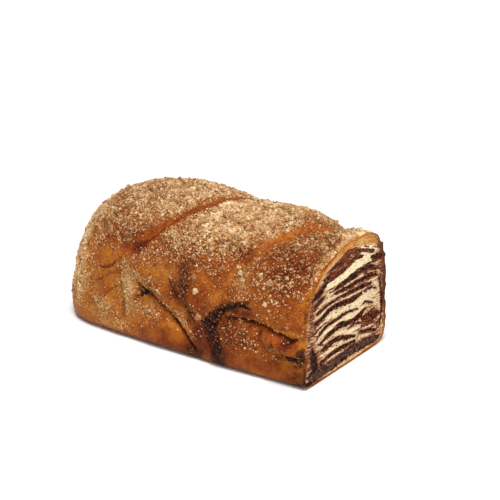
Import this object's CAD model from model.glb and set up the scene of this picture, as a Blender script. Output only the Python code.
"""Chocolate babka loaf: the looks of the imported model, in the model's own frame.

The loaf lies along X with its cut end at +X and the long side with the chocolate curl at -Y.
Shape sizes are in millimetres and are turned into metres where the meshes are made.
"""

import logging
import math
import random
from dataclasses import dataclass
from enum import Enum
from itertools import product

import bmesh
import bpy
import numpy as np
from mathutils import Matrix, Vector, noise


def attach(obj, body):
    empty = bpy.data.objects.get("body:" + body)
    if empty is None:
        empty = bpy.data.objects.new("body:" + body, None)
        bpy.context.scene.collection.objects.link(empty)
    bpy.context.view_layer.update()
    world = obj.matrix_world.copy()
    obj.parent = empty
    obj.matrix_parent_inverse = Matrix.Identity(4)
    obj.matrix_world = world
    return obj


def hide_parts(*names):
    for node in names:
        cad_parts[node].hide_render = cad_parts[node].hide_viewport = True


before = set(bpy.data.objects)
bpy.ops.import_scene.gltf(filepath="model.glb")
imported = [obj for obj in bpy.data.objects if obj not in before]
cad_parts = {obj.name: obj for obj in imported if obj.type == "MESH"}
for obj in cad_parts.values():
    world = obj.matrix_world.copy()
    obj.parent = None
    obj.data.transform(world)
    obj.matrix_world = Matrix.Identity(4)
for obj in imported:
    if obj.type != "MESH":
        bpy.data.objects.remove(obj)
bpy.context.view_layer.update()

MM = 0.001
BODY = "root"

LENGTH = 228.6
HALF_LENGTH = LENGTH / 2
SHOULDER_HEIGHT = 40.0
GIRTH_RADIUS = 52.0
LAST_DEGREES = 240.0
LUMP_SIZE = 24.0
LUMP_HEIGHT = 0.9
CUT_MIDDLE = 2.0
CUT_HEART = (2.0, 42.0)
CUT_SETBACK = 0.5

Pair = tuple[float, float]
Place = tuple[float, float, float]
Table = tuple[Pair, ...]
Route = tuple[tuple[float, ...], ...]
Array = np.ndarray
Piece = bpy.types.Object
Material = bpy.types.Material

log = logging.getLogger("babka")


# Curves and noise


def smooth_value(x: Array | float, table: Table) -> Array:
    """Read a table at x, on a smooth curve through its points.

    Args:
        x: Places at which the table is read.
        table: Pairs of place and value, in order of place.

    Returns:
        The value at each place.
    """
    places, values = np.array(table, dtype=float).T
    steps = np.diff(values) / np.diff(places)
    slopes = np.concatenate(([steps[0]], (steps[1:] + steps[:-1]) / 2, [steps[-1]]))
    left = np.clip(np.searchsorted(places, x) - 1, 0, len(places) - 2)
    span = places[left + 1] - places[left]
    u = (x - places[left]) / span
    return (
        (2 * u**3 - 3 * u**2 + 1) * values[left]
        + (u**3 - 2 * u**2 + u) * span * slopes[left]
        + (3 * u**2 - 2 * u**3) * values[left + 1]
        + (u**3 - u**2) * span * slopes[left + 1]
    )


def read(table: Table, x: Array | float) -> Array:
    """Read a table at x, on straight stretches between its points."""
    return np.interp(x, *zip(*table))


def smooth_route(points: Route, steps: int = 5) -> Array:
    """Put extra points between those of a route.

    Args:
        points: The route's points, each of two or more numbers.
        steps: How many parts each stretch is divided into.

    Returns:
        One row for each point of a smooth curve through the given ones.
    """
    given = np.array(points, dtype=float)
    marks = np.linspace(0, len(given) - 1, (len(given) - 1) * steps + 1)
    columns = [smooth_value(marks, tuple(enumerate(given[:, k]))) for k in range(given.shape[1])]
    return np.stack(columns, axis=-1)


def run_along(line: Array) -> Array:
    """Length of a line up to each of its points."""
    return np.concatenate([[0], np.cumsum(np.linalg.norm(np.diff(line, axis=0), axis=1))])


def unit(vectors: Array) -> Array:
    """The same directions, one millimetre long."""
    return vectors / np.maximum(np.linalg.norm(vectors, axis=-1, keepdims=True), 1e-9)


def wrapped(degrees: Array) -> Array:
    """Angles round the loaf, counted on from the far side to below the near side."""
    return np.where(degrees > LAST_DEGREES, degrees - 360, degrees)


def around(degrees: Array | float) -> Array | float:
    """Millimetres round the unrolled crust at angles round the loaf."""
    return np.radians(degrees) * GIRTH_RADIUS


def unrolled(route: Route) -> Array:
    """Smooth line of a route over the unrolled crust, with its degrees turned into millimetres."""
    line = smooth_route(route)
    line[:, 1] = around(line[:, 1])
    return line


def distance_to_line(a: Array, b: Array, line: Array) -> tuple[Array, Array, Array]:
    """Measure how far places in a plane are from a line of straight stretches.

    Args:
        a: First coordinate of the places.
        b: Second coordinate of the places.
        line: Points of the line: two coordinates and then any values carried along it.

    Returns:
        The signed distance, left of the line positive, the first carried value at the nearest
        point, and the share of the line that lies before it.
    """
    best = np.full(np.shape(a), 1e9)
    carried = np.zeros(np.shape(a))
    place = np.zeros(np.shape(a))
    values = line[:, 2] if line.shape[1] > 2 else np.zeros(len(line))
    for k in range(len(line) - 1):
        step_a, step_b = line[k + 1, 0] - line[k, 0], line[k + 1, 1] - line[k, 1]
        off_a, off_b = a - line[k, 0], b - line[k, 1]
        share = np.clip((off_a * step_a + off_b * step_b) / (step_a**2 + step_b**2), 0, 1)
        off_a, off_b = off_a - share * step_a, off_b - share * step_b
        reach = np.hypot(off_a, off_b)
        nearer = reach < np.abs(best)
        side = np.where(step_a * off_b - step_b * off_a >= 0, 1.0, -1.0)
        best = np.where(nearer, side * reach, best)
        carried = np.where(nearer, values[k] + share * (values[k + 1] - values[k]), carried)
        place = np.where(nearer, (k + share) / (len(line) - 1), place)
    return best, carried, place


def lattice_noise(points: Array, seed: int) -> Array:
    """Smooth noise from -1 to 1.

    Args:
        points: Places with three coordinates, measured in cells of the noise.
        seed: Number that picks one pattern.

    Returns:
        The noise at each place.
    """
    base = np.floor(points).astype(np.int64)
    share = points - base
    share = share * share * (3 - 2 * share)
    total = np.zeros(points.shape[:-1])
    for corner in product((0, 1), repeat=3):
        cell = base + np.array(corner)
        mixed = cell[..., 0] * 73856093 ^ cell[..., 1] * 19349663 ^ cell[..., 2] * 83492791
        mixed = (mixed ^ seed * 2654435761) & 0x7FFFFFFF
        mixed = ((mixed ^ mixed >> 13) * 1274126177) & 0x7FFFFFFF
        value = ((mixed ^ mixed >> 16) & 0xFFFF) / 32767.5 - 1
        weight = np.prod(np.where(np.array(corner) == 1, share, 1 - share), axis=-1)
        total += weight * value
    return total


def grain(points: Array, sizes: tuple[float, ...] | float, seed: int) -> Array:
    """Noise of several octaves, each half as strong as the one before.

    Args:
        points: Places in millimetres.
        sizes: Size of one noise cell, or its size along each axis.
        seed: Number that picks one pattern.

    Returns:
        Noise from about -1 to 1.
    """
    scaled = points / np.array(sizes)
    octaves = [lattice_noise(scaled * 2**k + 17.3 * k, seed + k) / 2**k for k in range(3)]
    return sum(octaves) / 1.4


def oval(across: Array, up: Array) -> Array:
    """Soft oval with half sizes of 1: full at its middle and gone beyond its edge."""
    return np.exp(-((across**2 + up**2) ** 1.5))


def rise(value: Array, low: float, high: float) -> Array:
    """Smooth step from 0 at low to 1 at high."""
    share = np.clip((value - low) / (high - low), 0, 1)
    return share * share * (3 - 2 * share)


# Form of the loaf


@dataclass(frozen=True)
class Fold:
    """A fold of the twisted dough, along a route over the crust.

    A route point is the place along the loaf, the degrees round it and the fold's depth, where
    0 degrees is the far side, 90 the top and 180 the near side. A negative depth is a ridge.
    """

    name: str
    left: float
    right: float
    route: Route

    def spread(self, x: Array, degrees: Array, share: float = 1.0) -> tuple[Array, Array]:
        """How much of the fold is felt at places on the crust.

        Args:
            x: Places along the loaf.
            degrees: Angles round the loaf.
            share: Part of the fold's own widths that is used.

        Returns:
            The strength from 0 to 1, and the fold's depth at the nearest point of its route.
        """
        off, depth, _ = distance_to_line(x, around(degrees), unrolled(self.route))
        width = np.where(off > 0, self.left, self.right) * share
        return np.exp(-((off / width) ** 2)), depth


FOLDS = (
    Fold("twist at the middle", 13, 7, (
        (46, -10, 1.5), (37, 20, 3.5), (29, 42, 4), (20, 60, 4), (9, 82, 3), (-1, 104, 3),
        (-10, 120, 5.5), (-20, 134, 7), (-31, 147, 6), (-38, 155, 2))),
    Fold("twist near the cut", 12, 12, (
        (112, 0, 1.5), (104, 25, 3.5), (97, 45, 5), (90, 58, 6), (85, 78, 5), (80, 98, 4),
        (70, 119, 4), (60, 136, 4), (50, 151, 4), (43, 170, 3.5), (38, 184, 3))),
    Fold("twist on the far side", 12, 10, (
        (-58, 62, 1.5), (-46, 34, 4), (-33, 8, 4), (-22, -18, 2))),
    Fold("long seam", 6, 4.5, (
        (-30, 172, 1.5), (-16, 179, 3.5), (-4, 186, 3.5), (9, 196, 3.5), (20, 204, 3),
        (28, 211, 2))),
    Fold("hollow under the smear", 9, 7, (
        (0, 163, 1.5), (8, 176, 4), (14, 186, 4), (24, 195, 3), (32, 203, 2.5))),
    Fold("open fold at the cut", 5, 5, (
        (50, 181, 1), (62, 178, 3), (78, 180, 3.5), (92, 183, 4), (104, 187, 4), (113, 188, 2.5))),
    Fold("rolled tongue", 6, 6, (
        (80, 187, -1), (91, 190, -3.5), (103, 192, -4), (114, 192, -3))),
    Fold("crease under the tongue", 5, 4, (
        (84, 195, 1), (93, 199, 3), (104, 201, 3.5), (114, 200, 3))),
    Fold("crease at the closed end", 6, 7, (
        (-52, 162, 1), (-46, 180, 3), (-42, 202, 2.5))),
    Fold("ridge at the closed end", 6, 6, (
        (-92, 150, -1), (-89, 176, -2), (-86, 200, -1))),
)
TWISTS = FOLDS[:3]


@dataclass(frozen=True)
class LoafForm:
    """The loaf's large form: the same named sizes as those of its solid."""

    top_height: Table = (
        (-114.3, 98), (-60, 100), (-22, 102.5), (15, 99), (38, 98), (62, 99), (80, 96.5),
        (97, 93), (114.3, 91))
    half_width: Table = ((-114.3, 56), (-60, 58), (0, 58.5), (60, 56), (114.3, 51))
    half_base: Table = ((-114.3, 58), (-60, 59.5), (0, 59.5), (60, 57), (114.3, 51.5))
    ridge_shift: Table = ((-114.3, 0), (-60, 0), (0, 2), (60, 5), (114.3, 9))
    axis_shift: Table = ((-114.3, -0.5), (-60, 0), (20, 1.5), (114.3, 2))
    near_shoulder: float = 2.3
    far_shoulder: float = 2.4
    far_shoulder_at_cut: float = 2.7
    near_foot: float = 14.0
    far_foot: float = 8.0
    end_plan_low: Pair = (-62, 2.8)
    end_plan_high: Pair = (-50, 1.9)
    end_top: Pair = (-46, 2.0)
    end_foot: Pair = (-80, 5.0)

    @staticmethod
    def end_rounding(x: Array, start: float, squareness: float) -> Array:
        """Share of full size that is left at x, from 1 at the start to 0 at the loaf's tip."""
        reach = np.clip((start - x) / (start + HALF_LENGTH), 0, 1)
        return (1 - reach**squareness) ** (1 / squareness)

    def plain(self, x: Array, degrees: Array) -> Array:
        """Points of the form without folds.

        Args:
            x: Places along the loaf.
            degrees: Angles round the loaf.

        Returns:
            Points in millimetres.
        """
        angle = np.radians(degrees)
        across, up = np.cos(angle), np.sin(angle)
        upper = up >= 0
        top = smooth_value(x, self.top_height)
        half_width = smooth_value(x, self.half_width)
        squarer = (self.far_shoulder_at_cut - self.far_shoulder) * np.clip((x - 60) / 50, 0, 1)
        shoulder = np.where(across < 0, self.near_shoulder, self.far_shoulder + squarer)
        foot = np.where(across < 0, self.near_foot, self.far_foot)
        power = np.where(upper, shoulder, foot)
        half_height = np.where(upper, top - SHOULDER_HEIGHT, SHOULDER_HEIGHT)
        size = np.abs(across / half_width) ** power + np.abs(up / half_height) ** power
        radius = size ** (-1 / power)
        y, z = radius * across, radius * up
        low_share = 1 - np.clip((z + 20) / 50, 0, 1)
        low, high = self.end_rounding(x, *self.end_plan_low), self.end_rounding(x, *self.end_plan_high)
        y = y * (low * low_share + high * (1 - low_share))
        end_up, end_down = self.end_rounding(x, *self.end_top), self.end_rounding(x, *self.end_foot)
        z = SHOULDER_HEIGHT + z * np.where(upper, end_up, end_down)
        flare = smooth_value(x, self.half_base) / half_width - 1
        y = y * (1 + flare * np.clip(1 - z / SHOULDER_HEIGHT, 0, 1))
        height_share = np.clip((z - SHOULDER_HEIGHT) / (top - SHOULDER_HEIGHT), 0, 1)
        y = y + smooth_value(x, self.ridge_shift) * height_share**1.5 * (1 - (y / 60) ** 2)
        y = y + smooth_value(x, self.axis_shift)
        return np.stack([x, y, z], axis=-1)

    def surface(self, x: Array, degrees: Array, relief: Array | float = 0.0) -> tuple[Array, Array]:
        """Points of the folded crust.

        Args:
            x: Places along the loaf.
            degrees: Angles round the loaf.
            relief: Further height over the form at each place.

        Returns:
            Points in millimetres, and at each the direction away from the loaf's core.
        """
        degrees = wrapped(degrees)
        points = self.plain(x, degrees)
        push = np.zeros(np.shape(x)) + relief
        for fold in FOLDS:
            strength, depth = fold.spread(x, degrees)
            push -= depth * strength
        lumps = [noise.noise(Vector(point) / LUMP_SIZE) for point in points.reshape(-1, 3)]
        push += LUMP_HEIGHT * np.array(lumps).reshape(np.shape(x))
        core = np.stack([np.clip(x, -70, None), 0 * x, 0 * x + SHOULDER_HEIGHT], axis=-1)
        outward = unit(points - core)
        clear_of_base = np.clip((points[..., 2] - 1) / 8, 0, 1)
        return points + outward * (push * clear_of_base)[..., None], outward


# Small features of the crust


@dataclass(frozen=True)
class Crease:
    """A crease where the crust steps down from a lip, to the right of its route, to a hollow.

    Its sizes are how far the hollow reaches, its depth, the lip's height and how far that
    reaches, and its darkness is a share.
    """

    name: str
    width: float
    depth: float
    lip: float
    reach: float
    dark: float
    route: Route

    def press(self, x: Array, along: Array, wobble: Array, fine: Array) -> tuple[Array, Array]:
        """Relief and shade that the crease gives to places on the unrolled crust.

        Args:
            x: Places along the loaf.
            along: Places round the loaf, in millimetres.
            wobble: Coarse noise at each place.
            fine: Fine noise at each place.

        Returns:
            Height over the form, and darkness from 0 to 1.
        """
        off, _, place = distance_to_line(x + 0.9 * wobble, along + 0.7 * fine, unrolled(self.route))
        fade = rise(place, -0.02, 0.12) * (1 - rise(place, 0.88, 1.02))
        wall = rise(-off, -0.7, 0.7)
        lip = wall * np.exp(-np.clip(-off, 0, None) / self.reach)
        hollow = (1 - wall) * np.exp(-((np.clip(off, 0, None) / self.width) ** 1.5))
        step = self.lip + self.depth
        shade = np.exp(-(((off - 0.38 * step) / (0.22 * step + 0.5)) ** 2)) * (1 - rise(-off, -0.2, 0.9))
        return fade * (self.lip * lip - self.depth * hollow), self.dark * fade * shade


CREASES = (
    Crease("under the second turn", 3.0, 1.4, 2.4, 6.0, 0.8, (
        (3, 102), (-2, 112), (-7.5, 121), (-14.5, 131), (-22, 140), (-30, 148.5), (-37, 154.5))),
    Crease("upper line at the cut", 2.0, 1.4, 1.3, 4.0, 0.75, (
        (114, 122.5), (107, 128.5), (100, 134), (92, 140), (85, 146), (79, 150.5))),
    Crease("long seam", 3.2, 2.0, 2.2, 3.4, 0.9, (
        (-28, 171), (-20, 176.5), (-12, 180.5), (-5, 184), (3, 190), (10, 196.5), (17, 202),
        (24, 208), (30, 211.5))),
    Crease("shadow beside the smear", 5.0, 1.8, 0.6, 3.0, 0.5, (
        (-1, 162), (4, 169), (8, 175), (14, 182), (20, 187))),
    Crease("short line by the curl", 1.2, 1.2, 0.5, 2.0, 0.9, (
        (18, 183), (24, 186), (30, 189), (35, 190))),
    Crease("edge over the curl", 2.5, 1.6, 2.4, 4.5, 0.95, (
        (36, 189), (39, 183.5), (44, 178.2), (50, 173), (57, 169), (65, 167), (74, 168.5))),
    Crease("edge left of the curl", 2.0, 0.8, 1.4, 3.0, 0.6, (
        (43, 212), (37, 205), (33, 198), (31, 192))),
    Crease("open fold", 4.0, 2.2, 1.6, 4.5, 0.75, (
        (46, 180), (53, 179.5), (61, 178.6), (68, 178.3), (76, 178.8), (85, 180.3), (94, 182.2), (101, 184.4),
        (105, 188))),
    Crease("under the tongue", 3.0, 2.0, 1.5, 3.5, 0.95, (
        (90, 188.5), (93, 191.5), (97, 194.5), (102, 196.3), (108, 196.3), (114.5, 192.5))),
    Crease("inside the tongue", 2.4, 1.4, 1.0, 2.5, 0.75, (
        (108, 184.5), (104, 188), (100, 190.5), (95, 190))),
    Crease("dent beside the tongue", 2.4, 1.4, 0.8, 2.5, 0.6, ((79, 184), (80, 189), (84, 193), (90, 193))),
    Crease("bare flank line", 1.5, 1.2, 0.8, 2.5, 0.6, (
        (-62, 169.5), (-57, 168.5), (-51, 165.5), (-46, 162))),
    Crease("closed end crease", 5.0, 1.8, 2.2, 5.0, 0.12, (
        (-41, 206), (-43, 192), (-45, 178), (-45, 166), (-44, 158))),
    Crease("closed end fold", 4.5, 1.2, 1.8, 5.0, 0.12, ((-70, 205), (-74, 190), (-77, 176), (-76, 162))),
    Crease("wrinkle by the seam", 2.4, 1.0, 0.8, 3.0, 0.15, ((-33, 203), (-35, 190), (-39, 172))),
    Crease("second wrinkle by the seam", 2.4, 1.1, 0.8, 3.0, 0.15, ((-12, 205), (-21, 194), (-28, 184))),
    Crease("third wrinkle by the seam", 2.4, 1.0, 0.8, 3.0, 0.15, ((2, 204), (-8, 193), (-16, 185))),
    Crease("slanting crease on the bare flank", 2.0, 0.8, 0.6, 3.0, 0.3, (
        (-68, 184), (-60, 177), (-52, 172), (-47, 170))),
    Crease("second slanting crease", 2.0, 0.9, 0.6, 3.0, 0.3, (
        (-66, 199), (-58, 190), (-50, 183), (-46, 180))),
    Crease("far middle twist", 3.0, 1.4, 1.8, 5.0, 0.7, (
        (43, -4), (37, 18), (30, 40), (22, 57), (13, 73))),
    Crease("far twist near the cut", 3.0, 1.4, 1.6, 5.0, 0.7, ((110, 4), (104, 25), (97, 44), (91, 56))),
    Crease("far closed end twist", 3.0, 1.4, 1.8, 5.0, 0.7, ((-56, 58), (-46, 34), (-33, 8), (-24, -14))),
    Crease("far seam", 2.5, 1.6, 1.4, 3.5, 0.8, ((-10, -6), (6, -14), (22, -20), (40, -27))),
)


@dataclass(frozen=True)
class Band:
    """A strip of the crust; each point of its route also has the strip's half width."""

    strength: float
    route: Route

    def cover(self, x: Array, degrees: Array) -> Array:
        """Strength of the strip at places on the crust."""
        off, half_width, _ = distance_to_line(x, around(degrees), unrolled(self.route))
        return self.strength * np.exp(-(np.abs(off / half_width) ** 3))


@dataclass(frozen=True)
class Patch:
    """A soft oval on the crust: middle, half sizes in millimetres, strength."""

    x: float
    degrees: float
    half_length: float
    half_girth: float
    strength: float

    def cover(self, x: Array, degrees: Array) -> Array:
        """Strength of the oval at places on the crust."""
        across = around(degrees - self.degrees) / self.half_girth
        return self.strength * oval((x - self.x) / self.half_length, across)


MIDDLE_ROUTE = (
    (6, 92, 3.2), (3.5, 100, 4.4), (-1, 110, 6), (-8, 120, 6.4), (-17, 130, 6.2), (-25.5, 139, 6.4),
    (-33, 147, 6), (-40, 153, 4))
CUT_TOP_ROUTE = ((94, 55, 6), (90, 70, 6), (86, 85, 6.5), (80, 98, 6), (74, 108, 5), (69, 118, 3))
CUT_LOW_ROUTE = (
    (68, 124, 3.5), (62, 132, 1.8), (54, 143, 2.2), (48, 153, 1.6), (43, 164, 1.9), (40, 175, 1.9),
    (37, 183, 1.6))
SMEAR_ROUTE = (
    (13.5, 152, 4), (14, 158, 5.6), (14.5, 166, 6), (15.5, 175, 5.2), (17.5, 184, 4.4), (19.5, 190, 3.5))
CURL_ROUTE = (
    (70, 165.5, 1.0), (64, 166.5, 1.5), (58, 169, 2.4), (53, 172.5, 3), (47.5, 177, 3.6), (42, 183, 4.4),
    (39.5, 189, 4.8), (40.5, 195, 4.6), (42, 200, 6), (45, 207, 7.5), (46, 213, 8))
SEAM_LIP_ROUTE = (
    (-40, 162, 5), (-30, 166, 4.5), (-20, 171.5, 4), (-10, 176, 3.6), (-1, 182, 3.4), (7, 189, 3.2),
    (15, 196, 3), (23, 203, 2.6))
CORNER_ROUTE = ((96, 200, 1.5), (102, 200.5, 2.2), (107, 200.5, 2.6), (113, 199, 3.5))
PAN_EDGE = ((-114.3, 204), (-60, 205), (-30, 205), (0, 200), (20, 203), (60, 204), (90, 203), (114.3, 206))
FAR_PAN_EDGE = -24

BARE_PLACES = (
    Band(0.95, MIDDLE_ROUTE), Band(0.85, CUT_TOP_ROUTE), Band(0.55, CUT_LOW_ROUTE[:3]),
    Band(0.75, CUT_LOW_ROUTE[2:]),
    Band(0.8, ((18, 56, 4.5), (13, 70, 4.5), (8, 82, 3.5), (4, 92, 2.5))),
    Band(0.8, ((40, -2, 4), (34, 20, 4.5), (26, 42, 4.5), (18, 58, 4))),
    Band(0.8, ((106, 8, 4), (100, 28, 4.5), (94, 47, 5))),
    Band(0.9, ((80, 188, 3), (88, 191, 4), (97, 193, 4.5), (106, 192, 4.5), (114, 189, 4))),
    Patch(-59, 160, 13, 7, 1.0), Patch(-2, 162, 10, 8, 0.6), Patch(29, 168, 8, 15, 0.7),
    Patch(8, 200, 14, 6, 0.8), Patch(104, 168, 9, 8, 0.4), Patch(-62, 178, 9, 7, 0.6),
    Patch(-58, 190, 9, 8, 0.4), Patch(62, 175, 12, 5, 0.8), Patch(30, 198, 9, 7, 0.7),
    Patch(-70, 20, 18, 9, 0.5), Patch(70, 12, 16, 9, 0.5))
RED_PLACES = (
    Band(0.45, MIDDLE_ROUTE[:4]), Band(0.2, MIDDLE_ROUTE[3:]), Patch(-31, 148, 9, 6, 1.0),
    Patch(-48, 142, 18, 10, 0.7), Patch(14, 142, 34, 13, 0.5), Patch(50, 132, 14, 8, 0.7),
    Patch(92, 136, 26, 16, 0.85), Patch(12, 76, 8, 14, 0.3), Patch(70, 190, 26, 9, 0.5),
    Patch(94, 110, 18, 18, 0.5), Patch(55, 190, 11, 13, 0.8),
    Patch(27, 174, 8, 15, 0.35), Patch(62, 175, 12, 5, 0.7), Patch(30, 200, 10, 8, 0.8),
    Patch(12, 211, 20, 4, 0.5), Patch(101, 189, 9, 4, 0.7), Patch(98, 204, 14, 5, 0.4),
    Patch(6, 172, 7, 8, 0.7), Patch(100, 160, 14, 8, 0.25),
    Patch(20, 36, 30, 12, 0.5), Patch(-60, 34, 24, 12, 0.5), Patch(84, 36, 20, 12, 0.5))
GOLD_PLACES = (
    Patch(-36, 186, 20, 18, 0.55), Patch(-5, 163, 12, 9, 0.5), Band(0.2, CUT_LOW_ROUTE[:3]),
    Band(0.38, CUT_LOW_ROUTE[2:]), Patch(86, 188, 3.5, 3.5, 0.4), Patch(104, 180, 8, 2.5, 0.9),
    Patch(111, 186, 3, 5, 0.9), Patch(64, 184, 5, 3, 0.5), Patch(80, 195, 4, 2.5, 0.5),
    Patch(103, 205, 9, 4, 0.8), Band(0.1, CUT_TOP_ROUTE), Patch(-88, 180, 12, 26, 0.8),
    Patch(-66, 186, 16, 18, 0.4), Patch(-80, 208, 44, 5, 1.0), Patch(-58, 160, 12, 7, 0.25),
    Patch(8, 200, 13, 6, 0.35),
    Band(0.8, ((112, 60, 3), (112, 90, 3), (112, 112, 3))),
    Band(0.3, ((112, 112, 3), (112, 140, 3), (112, 170, 3))))
STAIN_PLACES = (
    Band(0.6, SMEAR_ROUTE), Band(0.85, CURL_ROUTE), Band(0.35, CORNER_ROUTE),
    Patch(112.5, 193, 4, 5, 1.0), Patch(110, 216, 8, 4, 0.7), Patch(115, 212, 4, 8, 1.0),
    Patch(102, 187, 5, 4, 0.5), Patch(79, 187, 2.5, 5, 0.4), Patch(66, 182.5, 12, 2, 0.4),
    Patch(50, 192, 8, 12, 0.35), Patch(30, 195, 6, 10, 0.3),
    Patch(24, 211, 8, 4, 1.1), Patch(64, 173, 11, 4, 0.42), Patch(-20, 179, 8, 2.6, 0.65),
    Patch(-27, 185, 4, 3.5, 0.5), Patch(109, 181, 5, 4, 0.4), Patch(5, 173, 6, 8, 0.42),
    Patch(33, 191, 5, 4, 0.55),
    Patch(113, 160, 2.5, 12, 0.5), Patch(114, 20, 3, 40, 0.8), Patch(30, 204, 8, 5, 0.4),
    Patch(92, 105, 3, 3, 0.4))
BIT_PLACES = (
    Band(0.6, SMEAR_ROUTE), Band(0.75, CURL_ROUTE[3:]), Band(0.8, CORNER_ROUTE),
    Patch(110, 210, 8, 14, 1.0), Patch(46, 208, 8, 8, 0.9), Patch(24, 213, 8, 6, 0.8),
    Patch(112, 40, 4, 13, 0.8), Patch(113, 14, 3, 16, 0.6), Patch(113, -12, 3, 14, 0.7))
ROUGH_PLACES = (
    Patch(-50, 186, 34, 20, 1.4), Patch(70, 191, 32, 10, 1.4), Patch(-92, 150, 16, 40, 0.6),
    Band(1.0, SMEAR_ROUTE), Patch(40, 204, 14, 10, 1.4), Patch(104, 203, 14, 7, 1.4),
    Patch(-20, 184, 18, 12, 0.8))
CRUMB_PLACES = (
    Band(0.3, SEAM_LIP_ROUTE), Patch(60, 148, 9, 8, 0.75), Patch(-36, 178, 9, 18, 0.35),
    Band(0.6, ((112, 60, 3), (112, 90, 3), (112, 120, 3), (112, 145, 3))),
    Patch(88, 147, 28, 15, 0.75), Patch(64, 158, 12, 9, 0.5), Patch(92, 122, 24, 14, 0.75),
    Patch(30, 154, 16, 13, 0.25), Patch(74, 122, 9, 9, 0.7), Patch(106, 203, 8, 4, 0.5),
    Patch(-92, 150, 13, 44, 0.85), Patch(-84, 190, 8, 20, 0.35),
    Patch(-58, 199, 12, 7, 0.3), Patch(92, 199, 16, 5, 0.35), Patch(74, 193, 22, 8, 0.22),
    Patch(-18, 190, 12, 9, 0.25), Patch(-8, 163, 10, 9, 0.25))
SAND_PLACES = (
    Band(0.5, SEAM_LIP_ROUTE), Patch(-36, 180, 10, 22, 0.8), Patch(-18, 191, 16, 8, 0.45),
    Patch(-88, 180, 14, 26, 0.85), Patch(-60, 198, 16, 9, 0.65), Patch(-8, 163, 12, 9, 0.3),
    Patch(88, 152, 28, 12, 0.35), Patch(92, 198, 18, 6, 0.45), Patch(74, 192, 22, 8, 0.35),
    Patch(60, 155, 14, 12, 0.5), Patch(-50, 207, 24, 5, 0.6), Patch(111, 106, 4, 40, 0.75))
PALE_PLACES = (
    Patch(24, 112, 42, 18, 1.2), Patch(-86, 150, 14, 40, 1.2), Patch(58, 148, 8, 6, 0.8),
    Patch(111, 110, 5, 60, 1.0), Patch(-36, 180, 12, 24, 0.3), Patch(24, 138, 40, 12, 0.4),
    Patch(90, 145, 28, 20, 0.2))
BROWN_PLACES = (
    Patch(-55, 112, 26, 22, 0.3), Patch(94, 112, 20, 26, 0.8), Patch(86, 150, 30, 16, 0.3),
    Patch(50, 131, 12, 6, 0.6), Patch(-45, 142, 20, 10, 0.2),
    Patch(-8, 180, 20, 12, 0.6))
COVER_BY_ANGLE = (
    (-30, 0), (-5, 0.1), (10, 0.22), (32, 0.5), (55, 1), (114, 1), (127, 0.72), (141, 0.36), (158, 0.16),
    (202, 0.12), (206, 0))


def strongest(places: tuple[Band | Patch, ...], x: Array, degrees: Array) -> Array:
    """Highest strength that any of the strips and ovals has at each place."""
    return np.max([place.cover(x, degrees) for place in places], axis=0)


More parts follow.
